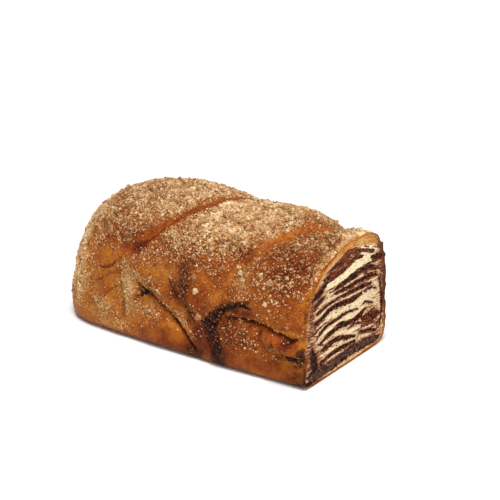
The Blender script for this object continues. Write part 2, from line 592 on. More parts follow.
@dataclass
class CrustMap:
    """What the crust looks like at each of its places: relief, colour masks and crumb cover."""

    x: Array
    degrees: Array
    points: Array

    def __post_init__(self) -> None:
        """Work out every mask once, because they depend on each other."""
        x = self.x
        degrees = wrapped(self.degrees)
        wobble = grain(self.points, 9, 3)
        fine = grain(self.points, 2.2, 5)
        warped = x + 2.2 * wobble, degrees + 2.2 * grain(self.points, 8, 7)
        clump = 0.5 * grain(self.points, 6.5, 33) + 0.7 * grain(self.points, 2.4, 35)
        self.clump = rise(clump, -0.5, 0.5)
        self.clear_of_base = rise(self.points[..., 2], 2.0, 4.5)
        near_pan = rise(warped[1] - read(PAN_EDGE, x), -1.0, 2.0)
        self.pan = np.maximum(near_pan, rise(FAR_PAN_EDGE - warped[1], -2.0, 2.0))
        self.bare = np.maximum(strongest(BARE_PLACES, *warped), self.pan)
        self.red = strongest(RED_PLACES, *warped)
        self.gold = strongest(GOLD_PLACES, *warped)
        self.stain = strongest(STAIN_PLACES, *warped) * (0.85 + 0.3 * fine)
        self.bits = strongest(BIT_PLACES, *warped) * rise(self.points[..., 2], 1.4, 2.4)
        self.cover = self._crumb_cover(*warped)
        sand = strongest(SAND_PLACES, *warped) * self.clear_of_base
        self.dust = np.maximum(self.cover**0.6 * (0.55 + 0.45 * self.clump), sand)
        self.dust = self.dust * (1 - 0.6 * np.clip(self.stain, 0, 1))
        self.dust = self.dust * (1 - 0.5 * rise(x, 62, 78) * rise(degrees, 60, 85) * (1 - rise(x, 104, 109)))
        paler, browner = (strongest(places, *warped) for places in (PALE_PLACES, BROWN_PLACES))
        self.bake = 0.5 + 0.5 * browner - 0.5 * paler
        self.relief = self._relief(x, degrees, wobble, fine)

    def _crumb_cover(self, x: Array, degrees: Array) -> Array:
        """Share of the crust that the crumb topping covers at each place."""
        cover = read(COVER_BY_ANGLE, degrees)
        for fold in TWISTS:
            strength, _ = fold.spread(x, degrees, 0.5)
            cover = cover * (1 - 0.55 * strength)
        cover = np.maximum(cover, strongest(CRUMB_PLACES, x, degrees))
        cover = cover * (1 - 0.28 * rise(x, 62, 84) * rise(degrees, 50, 80))
        cover = cover * (1 - 0.3 * rise(x, 36, 52) * rise(degrees, 116, 128))
        clumps = 0.85 + 0.5 * grain(self.points, 9, 21)
        cover = cover * np.clip(clumps, 0.3, 1.2) * (1 - np.clip(self.bare * 1.1, 0, 1))
        return np.clip(cover * (1 - 0.8 * np.clip(self.stain, 0, 1)), 0, 1) * self.clear_of_base

    def _relief(self, x: Array, degrees: Array, wobble: Array, fine: Array) -> Array:
        """Height over the form; the creases' dark lines are kept as a mask."""
        smooth_skin = np.clip(self.bare, 0, 1)
        lumpy = strongest(ROUGH_PLACES, x, degrees)
        swell = grain(self.points, 15, 13) * rise(degrees, 120, 160)
        height = 0.8 * swell + (0.6 * wobble * (0.6 + lumpy) + 0.4 * fine) * (1 - 0.7 * smooth_skin)
        sandy = grain(self.points, 1.3, 9)
        height += sandy * (0.12 + 0.25 * self.cover + 0.35 * np.clip(self.stain, 0, 1))
        height += 1.0 * (self.clump - 0.5) * self.cover
        torn = 0.6 + 0.8 * (1 - rise(degrees, 45, 65))
        height += torn * grain(self.points, 3, 37) * rise(x, 108, 113.5)
        self.crease = np.zeros(np.shape(x))
        for crease in CREASES:
            pressed, shade = crease.press(x, around(degrees), wobble, fine)
            height += pressed
            self.crease = np.maximum(self.crease, shade)
        return height


# Nodes of materials and geometry


class Signal:
    """An output of a node that joins with others through Python's own operators."""

    def __init__(self, builder: "NodeBuilder", socket: bpy.types.NodeSocket) -> None:
        """Hold the socket and the builder of its tree."""
        self.builder = builder
        self.socket = socket

    def _join(self, operation: str, first: "Term", second: "Term") -> "Signal":
        """Add one Math node on two values."""
        return self.builder.make("ShaderNodeMath", {"operation": operation}, {0: first, 1: second})

    def __add__(self, other: "Term") -> "Signal":
        """Sum."""
        return self._join("ADD", self, other)

    def __mul__(self, other: "Term") -> "Signal":
        """Product."""
        return self._join("MULTIPLY", self, other)

    __radd__ = __add__
    __rmul__ = __mul__

    def __sub__(self, other: "Term") -> "Signal":
        """Difference."""
        return self._join("SUBTRACT", self, other)

    def __rsub__(self, other: "Term") -> "Signal":
        """Difference, from the right."""
        return self._join("SUBTRACT", other, self)

    def __pow__(self, other: "Term") -> "Signal":
        """Power."""
        return self._join("POWER", self, other)

    def step(self, low: float, high: float) -> "Signal":
        """Smooth step from 0 at low to 1 at high."""
        settings = {"interpolation_type": "SMOOTHSTEP"}
        limits = {"Value": self, "From Min": low, "From Max": high}
        return self.builder.make("ShaderNodeMapRange", settings, limits)


Term = Signal | float
Color = tuple[float, float, float, float]


class NodeBuilder:
    """Adds nodes to a tree, for materials and for geometry alike."""

    def __init__(self, tree: bpy.types.NodeTree) -> None:
        """Hold the tree."""
        self.tree = tree

    @staticmethod
    def _find(sockets: bpy.types.bpy_prop_collection, key: int | str) -> bpy.types.NodeSocket:
        """Socket by its number, or the first one in use that has the name."""
        if isinstance(key, int):
            return sockets[key]
        return next(socket for socket in sockets if socket.name == key and socket.enabled)

    def make(
        self, kind: str, settings: dict | None = None, inputs: dict | None = None, output: int | str = 0
    ) -> Signal:
        """Add one node.

        Args:
            kind: Type of the node.
            settings: Properties of the node.
            inputs: Values or signals of its sockets, by name or number. A list of signals joins
                them all to the same socket.
            output: Name or number of the output that is used.

        Returns:
            The chosen output.
        """
        node = self.tree.nodes.new(kind)
        for name, value in (settings or {}).items():
            setattr(node, name, value)
        for key, value in (inputs or {}).items():
            socket = self._find(node.inputs, key)
            signals = value if isinstance(value, list) else [value]
            if isinstance(signals[0], Signal):
                for signal in signals:
                    self.tree.links.new(signal.socket, socket)
            else:
                socket.default_value = value
        return Signal(self, self._find(node.outputs, output))

    def mix(self, share: Term, first: Signal | Color, second: Signal | Color) -> Signal:
        """Blend two colours by a share from 0 to 1."""
        inputs = {"Factor": share, "A": first, "B": second}
        return self.make("ShaderNodeMix", {"data_type": "RGBA"}, inputs, "Result")

    def place(self) -> Signal:
        """Places on the object, in metres."""
        return self.make("ShaderNodeTexCoord", output="Object")

    def attribute(self, name: str, output: str = "Fac") -> Signal:
        """Read an attribute of the mesh."""
        return self.make("ShaderNodeAttribute", {"attribute_name": name}, output=output)

    def noise(self, place: Signal, size: float, detail: float = 3.0, rough: float = 0.55) -> Signal:
        """Noise from 0 to 1 with cells of a size in metres."""
        inputs = {"Vector": place, "Scale": 1 / size, "Detail": detail, "Roughness": rough}
        return self.make("ShaderNodeTexNoise", None, inputs)

    def scale(self, vector: Signal, size: Term) -> Signal:
        """Vector times a number."""
        return self.make("ShaderNodeVectorMath", {"operation": "SCALE"}, {0: vector, "Scale": size})

    def bump(self, height: Signal, depth: float, strength: float, below: Signal | None = None) -> Signal:
        """Normal that shows a height.

        Args:
            height: The relief, from 0 to 1.
            depth: Its full height in metres.
            strength: How much of it is felt.
            below: Normal of a coarser relief under it.

        Returns:
            The normal.
        """
        inputs = {"Height": height, "Distance": depth, "Strength": strength}
        if below:
            inputs["Normal"] = below
        return self.make("ShaderNodeBump", None, inputs)


def tone(red: int, green: int, blue: int) -> Color:
    """Colour from screen values between 0 and 255."""
    linear = [
        c / 12.92 if c <= 0.04045 else ((c + 0.055) / 1.055) ** 2.4
        for c in (red / 255, green / 255, blue / 255)
    ]
    return (*linear, 1.0)


@dataclass(frozen=True)
class Finish:
    """A material: constant settings of its shader, and a method that paints what varies."""

    name: str
    roughness: float = 0.5
    specular: float = 0.4
    subsurface: float = 0.0
    subsurface_depth: float = 0.0015
    coat: float = 0.0
    coat_roughness: float = 0.3

    def material(self) -> Material:
        """Make the material."""
        made = bpy.data.materials.new(self.name)
        made.use_nodes = True
        tree = made.node_tree
        shader = tree.nodes["Principled BSDF"]
        constants = {
            "Roughness": self.roughness, "Specular IOR Level": self.specular,
            "Subsurface Weight": self.subsurface, "Subsurface Scale": self.subsurface_depth,
            "Coat Weight": self.coat, "Coat Roughness": self.coat_roughness, "Metallic": 0.0}
        for name, value in constants.items():
            shader.inputs[name].default_value = value
        shader.inputs["Subsurface Radius"].default_value = (1.0, 0.6, 0.35)
        builder = NodeBuilder(tree)
        for name, signal in self.paint(builder).items():
            tree.links.new(signal.socket, shader.inputs[name])
        return made

    def paint(self, nodes: NodeBuilder) -> dict[str, Signal]:
        """Nodes for what varies over the surface, by the name of the shader's socket."""
        raise NotImplementedError


@dataclass(frozen=True)
class CrustFinish(Finish):
    """Baked crust: golden to red-brown glaze, dark creases and chocolate stains."""

    gold: Color = tone(196, 120, 38)
    amber: Color = tone(158, 76, 20)
    red: Color = tone(104, 36, 10)
    dark: Color = tone(34, 14, 7)
    stained: Color = tone(78, 34, 17)
    pan: Color = tone(118, 48, 8)
    pan_light: Color = tone(172, 92, 26)
    dust: Color = tone(228, 184, 126)
    dust_yellow: Color = tone(206, 162, 90)
    toasted: Color = tone(158, 96, 44)
    gap: Color = tone(92, 50, 22)

    def paint(self, nodes: NodeBuilder) -> dict[str, Signal]:
        """Crust colours from the masks on the mesh and from mottling at three scales."""
        place = nodes.place()
        broad = nodes.noise(place, 0.014, 3, 0.6)
        middle = nodes.noise(place, 0.004, 4, 0.65)
        fine = nodes.noise(place, 0.0011, 3, 0.6)
        granules = nodes.noise(place, 0.0017, 2, 0.6)
        masks = ("red", "gold", "pan", "bare", "stain", "crease", "cover", "dust", "clump", "bake")
        red, gold, pan, bare, stain, crease, cover, dust, clump, bake = map(nodes.attribute, masks)
        tint = red - gold + (broad - 0.5) * 1.6 + (middle - 0.5) * 2.0 + (fine - 0.5) * 1.3
        tint = tint + (granules - 0.5) * 1.4
        color = nodes.mix(tint.step(-0.75, 0.2), self.gold, self.amber)
        color = nodes.mix(tint.step(0.05, 0.9), color, self.red)
        baked = (broad + (middle - 0.5) * 0.4 + gold * 0.4 - red * 0.3).step(0.36, 0.74)
        color = nodes.mix(pan * 0.9, color, nodes.mix(baked, self.pan, self.pan_light))
        color = nodes.mix(cover * (1 - clump) * 0.75, color, self.gap)
        sand = nodes.mix((broad + (fine - 0.5) * 0.5).step(0.42, 0.6), self.dust, self.dust_yellow)
        sand = nodes.mix(bake.step(0.35, 1.0) * 0.7, sand, self.toasted)
        speckle = (granules + (fine - 0.5) * 0.5 + dust * 0.46 - 0.7).step(0.0, 0.16)
        color = nodes.mix(speckle * dust.step(0.0, 0.25) * 0.9, color, sand)
        pits = (0.46 - fine).step(0.0, 0.12) * (1 - bare * 0.4)
        color = nodes.mix(pits * 0.6, color, self.red)
        color = nodes.mix((granules - 0.56).step(0.0, 0.14) * 0.35, color, self.gold)
        soaked = stain + (middle - 0.5) * 1.0 + (fine - 0.5) * 1.0
        color = nodes.mix(soaked.step(0.15, 0.6) * 0.85, color, self.stained)
        color = nodes.mix(soaked.step(0.55, 1.0) * 0.95, color, self.dark)
        lines = crease + (fine - 0.5) * 0.35
        color = nodes.mix(lines.step(0.05, 0.45) * 0.7, color, self.red)
        color = nodes.mix(lines.step(0.4, 0.85) * 0.95, color, self.dark)
        rough = 0.6 - bare * 0.14 + (fine - 0.5) * 0.25 - stain * 0.1
        wrinkles = nodes.bump(middle, 0.0016, 0.7)
        wrinkles = nodes.bump(granules, 0.0009, 0.8, wrinkles)
        skin = nodes.bump(fine + nodes.noise(place, 0.00045, 2) * 0.6, 0.00045, 0.8, wrinkles)
        return {"Base Color": color, "Roughness": rough, "Normal": skin}


@dataclass(frozen=True)
class CrumbFinish(Finish):
    """Baked sugar crumbs, each with its own tint."""

    light: Color = tone(232, 206, 158)
    deep: Color = tone(178, 122, 72)
    warm: Color = tone(176, 112, 62)

    def paint(self, nodes: NodeBuilder) -> dict[str, Signal]:
        """Crumb colours between the light and the deep one, by crumb and by grain."""
        place = nodes.place()
        tint = nodes.attribute("tint")
        patch = nodes.noise(place, 0.0011, 3, 0.6)
        broad = nodes.noise(place, 0.011, 2, 0.5)
        share = (tint * 1.2 + (patch - 0.5) * 1.3 - 0.1).step(0.0, 1.0)
        color = nodes.mix(share, self.light, self.deep)
        color = nodes.mix(broad.step(0.42, 0.68) * 0.5, color, self.warm)
        rough = 0.7 + (patch - 0.5) * 0.3
        skin = nodes.bump(nodes.noise(place, 0.00035, 3, 0.7), 0.0003, 0.8)
        return {"Base Color": color, "Roughness": rough, "Normal": skin}


@dataclass(frozen=True)
class DoughFinish(Finish):
    """Cut dough: cream layers with chocolate soaked in between them, and a golden rim."""

    cream: Color = tone(255, 234, 190)
    tan: Color = tone(222, 182, 138)
    soaked: Color = tone(128, 62, 36)
    stained: Color = tone(70, 28, 16)
    dark: Color = tone(40, 16, 10)
    rim: Color = tone(198, 124, 54)
    rim_light: Color = tone(238, 192, 124)
    crust: Color = tone(178, 108, 48)

    def paint(self, nodes: NodeBuilder) -> dict[str, Signal]:
        """Dough colours that follow the layers."""
        place = nodes.place()
        flow = nodes.attribute("flow", "Vector")
        long_streaks = self._streaks(nodes, flow, (0.07, 0.5))
        short_streaks = self._streaks(nodes, flow, (0.3, 1.5))
        crumb = nodes.noise(place, 0.0009, 3, 0.65)
        soak, near = nodes.attribute("soak"), nodes.attribute("near")
        rim, edge, shade = nodes.attribute("rim"), nodes.attribute("edge"), nodes.attribute("shade")
        tanned = short_streaks * 0.6 + crumb * 0.4 + soak * 0.5
        color = nodes.mix(tanned.step(0.36, 0.9), self.cream, self.tan)
        threads = soak + (long_streaks - 0.5) * 3.0 + (short_streaks - 0.5) * 2.2 + (crumb - 0.5) * 1.2
        color = nodes.mix(threads.step(0.48, 0.74) * 0.92, color, self.soaked)
        color = nodes.mix((threads + (crumb - 0.5) * 0.8).step(0.9, 1.2) * 0.9, color, self.stained)
        lines = self._streaks(nodes, nodes.attribute("skin", "Vector"), (0.06, 0.62))
        golden = nodes.mix((lines + (crumb - 0.5) * 0.3).step(0.36, 0.64), self.rim, self.rim_light)
        browned = (shade + (lines - 0.5) * 1.8 + (crumb - 0.5) * 2.0).step(0.3, 0.8)
        golden = nodes.mix(browned * 0.92, golden, self.stained)
        color = nodes.mix((rim + (short_streaks - 0.5) * 0.6).step(0.2, 0.8), color, golden)
        skirt = nodes.mix(shade.step(0.2, 0.8), self.crust, self.stained)
        color = nodes.mix((edge + (crumb - 0.5) * 0.3).step(0.3, 0.8), color, skirt)
        smear = near + (short_streaks - 0.5) * 2.0 + (crumb - 0.5) * 1.6
        color = nodes.mix(smear.step(0.1, 0.46) * 0.88, color, self.soaked)
        color = nodes.mix(smear.step(0.5, 0.88), color, self.dark)
        rough = 0.72 + (crumb - 0.5) * 0.3 - near * 0.1
        fibres = nodes.bump(long_streaks * 0.5 + short_streaks * 0.5, 0.0009, 0.6)
        skin = nodes.bump(crumb, 0.0005, 0.7, fibres)
        return {"Base Color": color, "Roughness": rough, "Normal": skin}

    @staticmethod
    def _streaks(nodes: NodeBuilder, flow: Signal, stretch: Pair) -> Signal:
        """Noise drawn out along the layers; the stretch is in cells per millimetre."""
        sizes = {0: flow, 1: (stretch[0], stretch[1], 1.0)}
        scaled = nodes.make("ShaderNodeVectorMath", {"operation": "MULTIPLY"}, sizes)
        inputs = {"Vector": scaled, "Scale": 1.0, "Detail": 3.0, "Roughness": 0.6}
        return nodes.make("ShaderNodeTexNoise", None, inputs)


@dataclass(frozen=True)
class ChocolateFinish(Finish):
    """Baked chocolate filling: near black to red-brown, grainy with glossy places."""

    black: Color = tone(24, 7, 3)
    brown: Color = tone(92, 38, 15)
    red: Color = tone(154, 68, 32)
    ash: Color = tone(132, 104, 90)
    speck: Color = tone(196, 128, 78)
    specks: float = 0.0

    def paint(self, nodes: NodeBuilder) -> dict[str, Signal]:
        """Chocolate colours by the warmth on the mesh, from heart to edge, and by grain."""
        place = nodes.place()
        warmth, edge = nodes.attribute("warmth"), nodes.attribute("edge")
        blotch = nodes.noise(place, 0.0026, 3, 0.6)
        grit = nodes.noise(place, 0.0012, 3, 0.7)
        share = blotch * 1.1 + grit * 0.9 + edge * 0.3 - 0.45
        color = nodes.mix(share.step(0.5, 0.82), self.black, self.brown)
        warm = (warmth * 1.3 + edge * 0.3 + (share - 0.7) * 3.2).step(0.2, 1.2)
        color = nodes.mix(warm * 0.9, color, self.red)
        color = nodes.mix((warmth * (0.05 - blotch)).step(0.0, 0.7), color, self.ash)
        strewn = nodes.noise(place, 0.0016, 1, 0.4)
        color = nodes.mix((strewn - 1 + self.specks).step(0.0, 0.08), color, self.speck)
        rough = self.roughness + (grit - 0.5) * 0.6
        skin = nodes.bump(grit, 0.0008, 1.0, nodes.bump(blotch, 0.0012, 0.7))
        return {"Base Color": color, "Roughness": rough, "Normal": skin}


@dataclass(frozen=True)
class FloorFinish(Finish):
    """Pale matt floor."""

    pale: Color = tone(246, 246, 245)
    paler: Color = tone(250, 250, 250)
    cloud: float = 0.4

    def paint(self, nodes: NodeBuilder) -> dict[str, Signal]:
        """Very faint cloudiness."""
        place = nodes.place()
        return {"Base Color": nodes.mix(nodes.noise(place, self.cloud, 2), self.pale, self.paler)}


# Meshes


def into_scene(name: str, data: bpy.types.ID) -> Piece:
    """Make an object of a mesh, camera or light and put it into the scene."""
    made = bpy.data.objects.new(name, data)
    bpy.context.scene.collection.objects.link(made)
    return made


def mesh_object(name: str, points: Array, faces: list, material: Material) -> Piece:
    """Make an object in the scene.

    Args:
        name: Name of the piece.
        points: Its vertices in millimetres.
        faces: Lists of vertex numbers.
        material: Its material.

    Returns:
        The object, smooth shaded, at the origin.
    """
    mesh = bpy.data.meshes.new(name)
    mesh.from_pydata((points * MM).tolist(), [], faces)
    mesh.materials.append(material)
    mesh.shade_smooth()
    return into_scene(name, mesh)


def add_values(target: Piece, name: str, values: Array) -> None:
    """Store one number, or one vector, for each vertex under a name."""
    kind = "FLOAT_VECTOR" if values.ndim == 2 else "FLOAT"
    layer = target.data.attributes.new(name, kind, "POINT")
    key = "vector" if values.ndim == 2 else "value"
    layer.data.foreach_set(key, np.ascontiguousarray(values, dtype=np.float32).ravel())


def face_outwards(target: Piece) -> None:
    """Turn every face of a closed mesh to the outside."""
    shape = bmesh.new()
    shape.from_mesh(target.data)
    bmesh.ops.recalc_face_normals(shape, faces=shape.faces)
    shape.to_mesh(target.data)
    shape.free()


def closed_rings(rings: Array, tips: Array) -> tuple[Array, list]:
    """Join rings of points into one closed shape.

    Args:
        rings: Points by ring and by place in the ring.
        tips: The point that closes the first ring, and the one that closes the last.

    Returns:
        The vertices, ring by ring and then the tips, and the faces.
    """
    count, sides = rings.shape[:2]
    after = [(j + 1) % sides for j in range(sides)]
    faces = [
        (i * sides + j, i * sides + after[j], (i + 1) * sides + after[j], (i + 1) * sides + j)
        for i, j in product(range(count - 1), range(sides))]
    last = (count - 1) * sides
    faces += [(count * sides, after[j], j) for j in range(sides)]
    faces += [(count * sides + 1, last + j, last + after[j]) for j in range(sides)]
    return np.concatenate([rings.reshape(-1, 3), tips]), faces


def settle(piece: Piece, slot: str, *nodes: str) -> None:
    """Tell the frame what a piece rides on, which solids it replaces and its material slot."""
    if nodes:
        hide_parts(*nodes)
    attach(piece, BODY)
    piece.data.calc_loop_triangles()
    log.info("%s: %d triangles", piece.name, len(piece.data.loop_triangles))


@dataclass
class CrustSkin:
    """The crust: one closed shell that ends in a lip round the cut."""

    form: LoafForm
    rings_at_end: int = 62
    rings_straight: int = 226
    end_length: float = 54.0
    columns_far: int = 62
    columns_near: int = 226
    columns_under: int = 12
    lip: Route = ((-0.15, 0.1), (0.0, 0.28), (-0.12, 0.5), (-0.8, 0.75), (-2.6, 1.5))
    half_foot: float = 53.0
    fine_from: float = 42.0

    def angles(self) -> Array:
        """Degrees of the columns round the loaf, closest together on the near side."""
        foot = math.degrees(math.atan2(SHOULDER_HEIGHT, self.half_foot))
        far = np.linspace(-foot, self.fine_from, self.columns_far, endpoint=False)
        near = np.linspace(self.fine_from, 180 + foot, self.columns_near, endpoint=False)
        share = (1 - np.cos(np.linspace(0, math.pi, self.columns_under, endpoint=False))) / 2
        return np.concatenate([far, near, 180 + foot + share * (180 - 2 * foot)])

    def stations(self) -> Array:
        """Places of the rings along the loaf, from the closed end to just before the cut."""
        quarter = np.arange(1, self.rings_at_end + 1) / self.rings_at_end * math.pi / 2
        round_end = -HALF_LENGTH + self.end_length * (1 - np.cos(quarter))
        straight = np.linspace(-HALF_LENGTH + self.end_length, HALF_LENGTH - CUT_SETBACK, self.rings_straight)
        return np.concatenate([round_end, straight[1:]])

    def build(self, material: Material) -> Piece:
        """Make the crust with its masks as attributes.

        Args:
            material: The crust's material.

        Returns:
            The piece, which replaces the loaf's solid.
        """
        x, degrees = np.meshgrid(self.stations(), self.angles(), indexing="ij")
        crust = CrustMap(x, degrees, self.form.plain(x, wrapped(degrees)))
        points, _ = self.form.surface(x, degrees, crust.relief)
        points[..., 2] = np.where(points[..., 2] < 0.5, 0.0, points[..., 2])
        inward = np.array([0.0, *CUT_HEART]) - points[-1]
        inward[:, 0] = 0
        inward = unit(inward)
        width = 1 + 0.45 * grain(points[-1], 4, 31)
        rings = [points]
        for ahead, inset in self.lip:
            ring = points[-1] + inward * (inset * width)[:, None]
            ring[:, 0] = HALF_LENGTH + ahead
            rings.append(ring[None])
        tip = points[0].mean(axis=0)
        tip[0] = -HALF_LENGTH
        middle = np.array([HALF_LENGTH + self.lip[-1][0], *CUT_HEART])
        vertices, faces = closed_rings(np.concatenate(rings), np.array([tip, middle]))
        piece = mesh_object("crust", vertices, faces, material)
        names = ("pan", "bare", "red", "gold", "stain", "crease", "cover", "dust", "clump", "bake", "bits")
        for name in names:
            values = getattr(crust, name)
            rows = np.concatenate([values, np.repeat(values[-1:], len(self.lip), axis=0)])
            if name in ("cover", "dust", "bits"):
                rows[-len(self.lip) - 2:] = 0
            add_values(piece, name, np.append(rows.ravel(), [rows[0].mean(), 0]))
        face_outwards(piece)
        return piece


@dataclass(frozen=True)
class FillingLayer:
    """A chocolate layer at the cut: points across from the middle, up and half the thickness."""

    warmth: float
    points: Route


LAYERS = (
    FillingLayer(0.98, (
        (-22, 78.6, 0.8), (-12, 81, 1.5), (-2, 83.6, 2.0), (6, 83, 1.6), (14, 81.4, 1.2),
        (24, 78.6, 1.0), (31, 76, 0.6))),
    FillingLayer(0.8, (
        (-29, 74, 0.9), (-22, 74.5, 2.2), (-14, 73.6, 1.8), (-4, 74, 1.5), (4, 76, 1.9),
        (10, 77.7, 1.6), (18, 76, 0.7))),
    FillingLayer(0.2, (
        (-43, 63.5, 0.8), (-38, 65, 2.0), (-34, 66.6, 2.2), (-30, 69, 1.5), (-26.5, 70.6, 0.6))),
    FillingLayer(0.0, ((29, 71.8, 0.8), (34, 70.3, 2.2), (39, 69.2, 2.5), (43.5, 67.6, 1.2))),
    FillingLayer(0.15, (
        (-16, 62.6, 0.7), (-8, 63.4, 1.5), (0, 64.5, 2.1), (8, 65.5, 2.4), (16, 66, 2.2),
        (24, 65.2, 1.5), (33, 63.6, 1.0))),
    FillingLayer(0.45, (
        (-17, 60, 0.7), (-8, 59.3, 1.2), (2, 58.8, 1.5), (12, 58.8, 1.2), (24, 58, 1.6),
        (33, 56.8, 1.2), (38, 55.3, 0.6))),
    FillingLayer(0.5, (
        (-37, 51.4, 0.6), (-26, 54, 1.0), (-12, 54.9, 0.9), (0, 54.3, 1.2), (10, 53.9, 1.4),
        (20, 52.8, 1.5), (29, 51.8, 0.7))),
    FillingLayer(0.3, (
        (-40, 45.4, 0.8), (-32, 46.5, 1.5), (-23, 49.4, 1.6), (-15, 50.1, 1.8), (-5, 48.8, 2.0),
        (5, 47.6, 1.8), (18, 47.8, 0.8))),
    FillingLayer(0.3, (
        (-37, 34.8, 0.7), (-30, 37.6, 1.2), (-21, 39.1, 1.0), (-10, 39.4, 0.8), (2, 39.5, 0.8),
        (14, 37.4, 0.6))),
    FillingLayer(0.15, (
        (-33, 28.3, 0.7), (-26, 30.5, 1.4), (-17, 32, 1.8), (-8, 33.2, 2.3), (1, 31.4, 1.6),
        (11, 30.4, 1.7), (24, 34.2, 1.1))),
    FillingLayer(0.6, (
        (20, 28, 1.2), (26, 26.2, 3.4), (33, 25.6, 4.3), (38.5, 25, 2.6), (42, 23.6, 0.8))),
    FillingLayer(0.3, (
        (-31, 22.4, 0.8), (-22, 23.8, 1.8), (-14, 24.2, 1.4), (-7, 22.9, 1.5), (1, 20.4, 1.1),
        (10, 18, 0.6))),
    FillingLayer(0.35, (
        (-32, 13.6, 1.0), (-21, 15.1, 1.3), (-10, 15.7, 1.3), (0, 14.8, 1.2), (10, 14.2, 0.9))),
    FillingLayer(0.4, ((16, 19, 0.6), (24, 17.4, 1.0), (32, 14.8, 1.0), (39, 11.6, 0.7))),
    FillingLayer(-0.5, (
        (-43, 6.2, 2.6), (-30, 6.4, 3.4), (-16, 6.8, 3.7), (-2, 7.8, 3.7), (12, 8.2, 3.5),
        (24, 7.4, 3.5), (34, 5.9, 2.8), (42, 5, 1.6))),
    FillingLayer(0.0, ((-37.5, 12.8, 1.4), (-38.5, 18.5, 2.2), (-41, 25, 0.8))),
    FillingLayer(0.2, (
        (41, 51.5, 0.7), (43.6, 44, 0.8), (45.2, 36, 1.2), (45.8, 28, 1.3), (45, 20, 0.9),
        (43.5, 14, 0.6))),
)
# Layers level enough to steer the dough's flow: all but the blot and the two beside the rim
LEVEL_LAYERS = LAYERS[:10] + LAYERS[11:15]

THIN_STREAKS = (
    ((4, 85.4, 0.3), (14, 84, 0.35), (26, 80.6, 0.35), (36, 77, 0.3)),
    ((8, 80, 0.3), (18, 79, 0.35), (30, 75, 0.4), (36, 72.5, 0.3)),
    ((-20, 80.2, 0.4), (-10, 78, 0.6), (0, 79.5, 0.8), (8, 80, 0.4)),
    ((-27, 70.4, 0.8), (-18, 71.4, 1.2), (-8, 72.4, 0.8), (4, 74, 0.4)),
    ((14, 69, 0.3), (24, 68, 0.5), (36, 66.4, 0.6)),
    ((18, 63.2, 0.4), (28, 61.8, 0.6), (40, 60.2, 0.5)),
    ((20, 61, 0.3), (30, 59.6, 0.5), (38, 58, 0.4)),
    ((-40, 58, 1.0), (-35, 59.8, 1.8), (-30, 61, 1.0), (-27, 60.4, 0.4)),
    ((12, 49.4, 0.4), (20, 49, 0.5), (28, 49.2, 0.5), (34, 48.6, 0.3)),
    ((-38, 52.4, 0.3), (-33, 53.2, 0.5), (-28, 53.8, 0.4)),
    ((-25, 65, 0.2), (-21, 64.6, 0.3), (-18, 64, 0.3)),
    ((-23, 62.6, 0.2), (-19, 62, 0.4), (-17, 62.6, 0.3)),
    ((22, 47.6, 0.4), (30, 47.8, 0.9), (38, 45, 0.5)),
    ((-40, 42, 0.4), (-34, 43.6, 0.5), (-28, 44.4, 0.3)),
    ((-42, 37.6, 0.5), (-36, 39.8, 0.7), (-28, 41.2, 0.5), (-18, 41.6, 0.3)),
    ((14, 37.2, 0.4), (22, 39.4, 0.5), (28, 37.4, 0.9), (34, 35, 0.5)),
    ((-35, 28.8, 0.5), (-32, 27, 0.8), (-29, 26, 0.5)),
    ((2, 26.4, 0.4), (10, 27.4, 0.8), (16, 26, 0.9), (20, 24, 0.4)),
    ((13, 21, 0.3), (20, 20.8, 0.4)),
    ((18, 22, 0.5), (26, 21, 0.7), (36, 19, 0.6), (42, 17, 0.4)),
    ((-31, 11.4, 0.9), (-27, 10.6, 0.7)),
    ((2, 12.2, 0.5), (12, 12.3, 0.6)),
    ((18, 12.4, 0.4), (24, 11.2, 0.5), (30, 9.6, 0.4)),
    ((-35.5, 8, 2.0), (-39, 13, 4.2), (-41, 20, 3.0), (-42.5, 28, 0.8)),
    ((-41, 10, 1.0), (-43, 18, 1.2), (-44.5, 27, 0.7)),
    ((-50, 3.4, 1.6), (-42, 2.8, 1.6), (-34, 2.6, 1.0)),
    ((-46, 8, 2.0), (-42, 10.5, 1.5), (-37, 11, 0.8)),
)

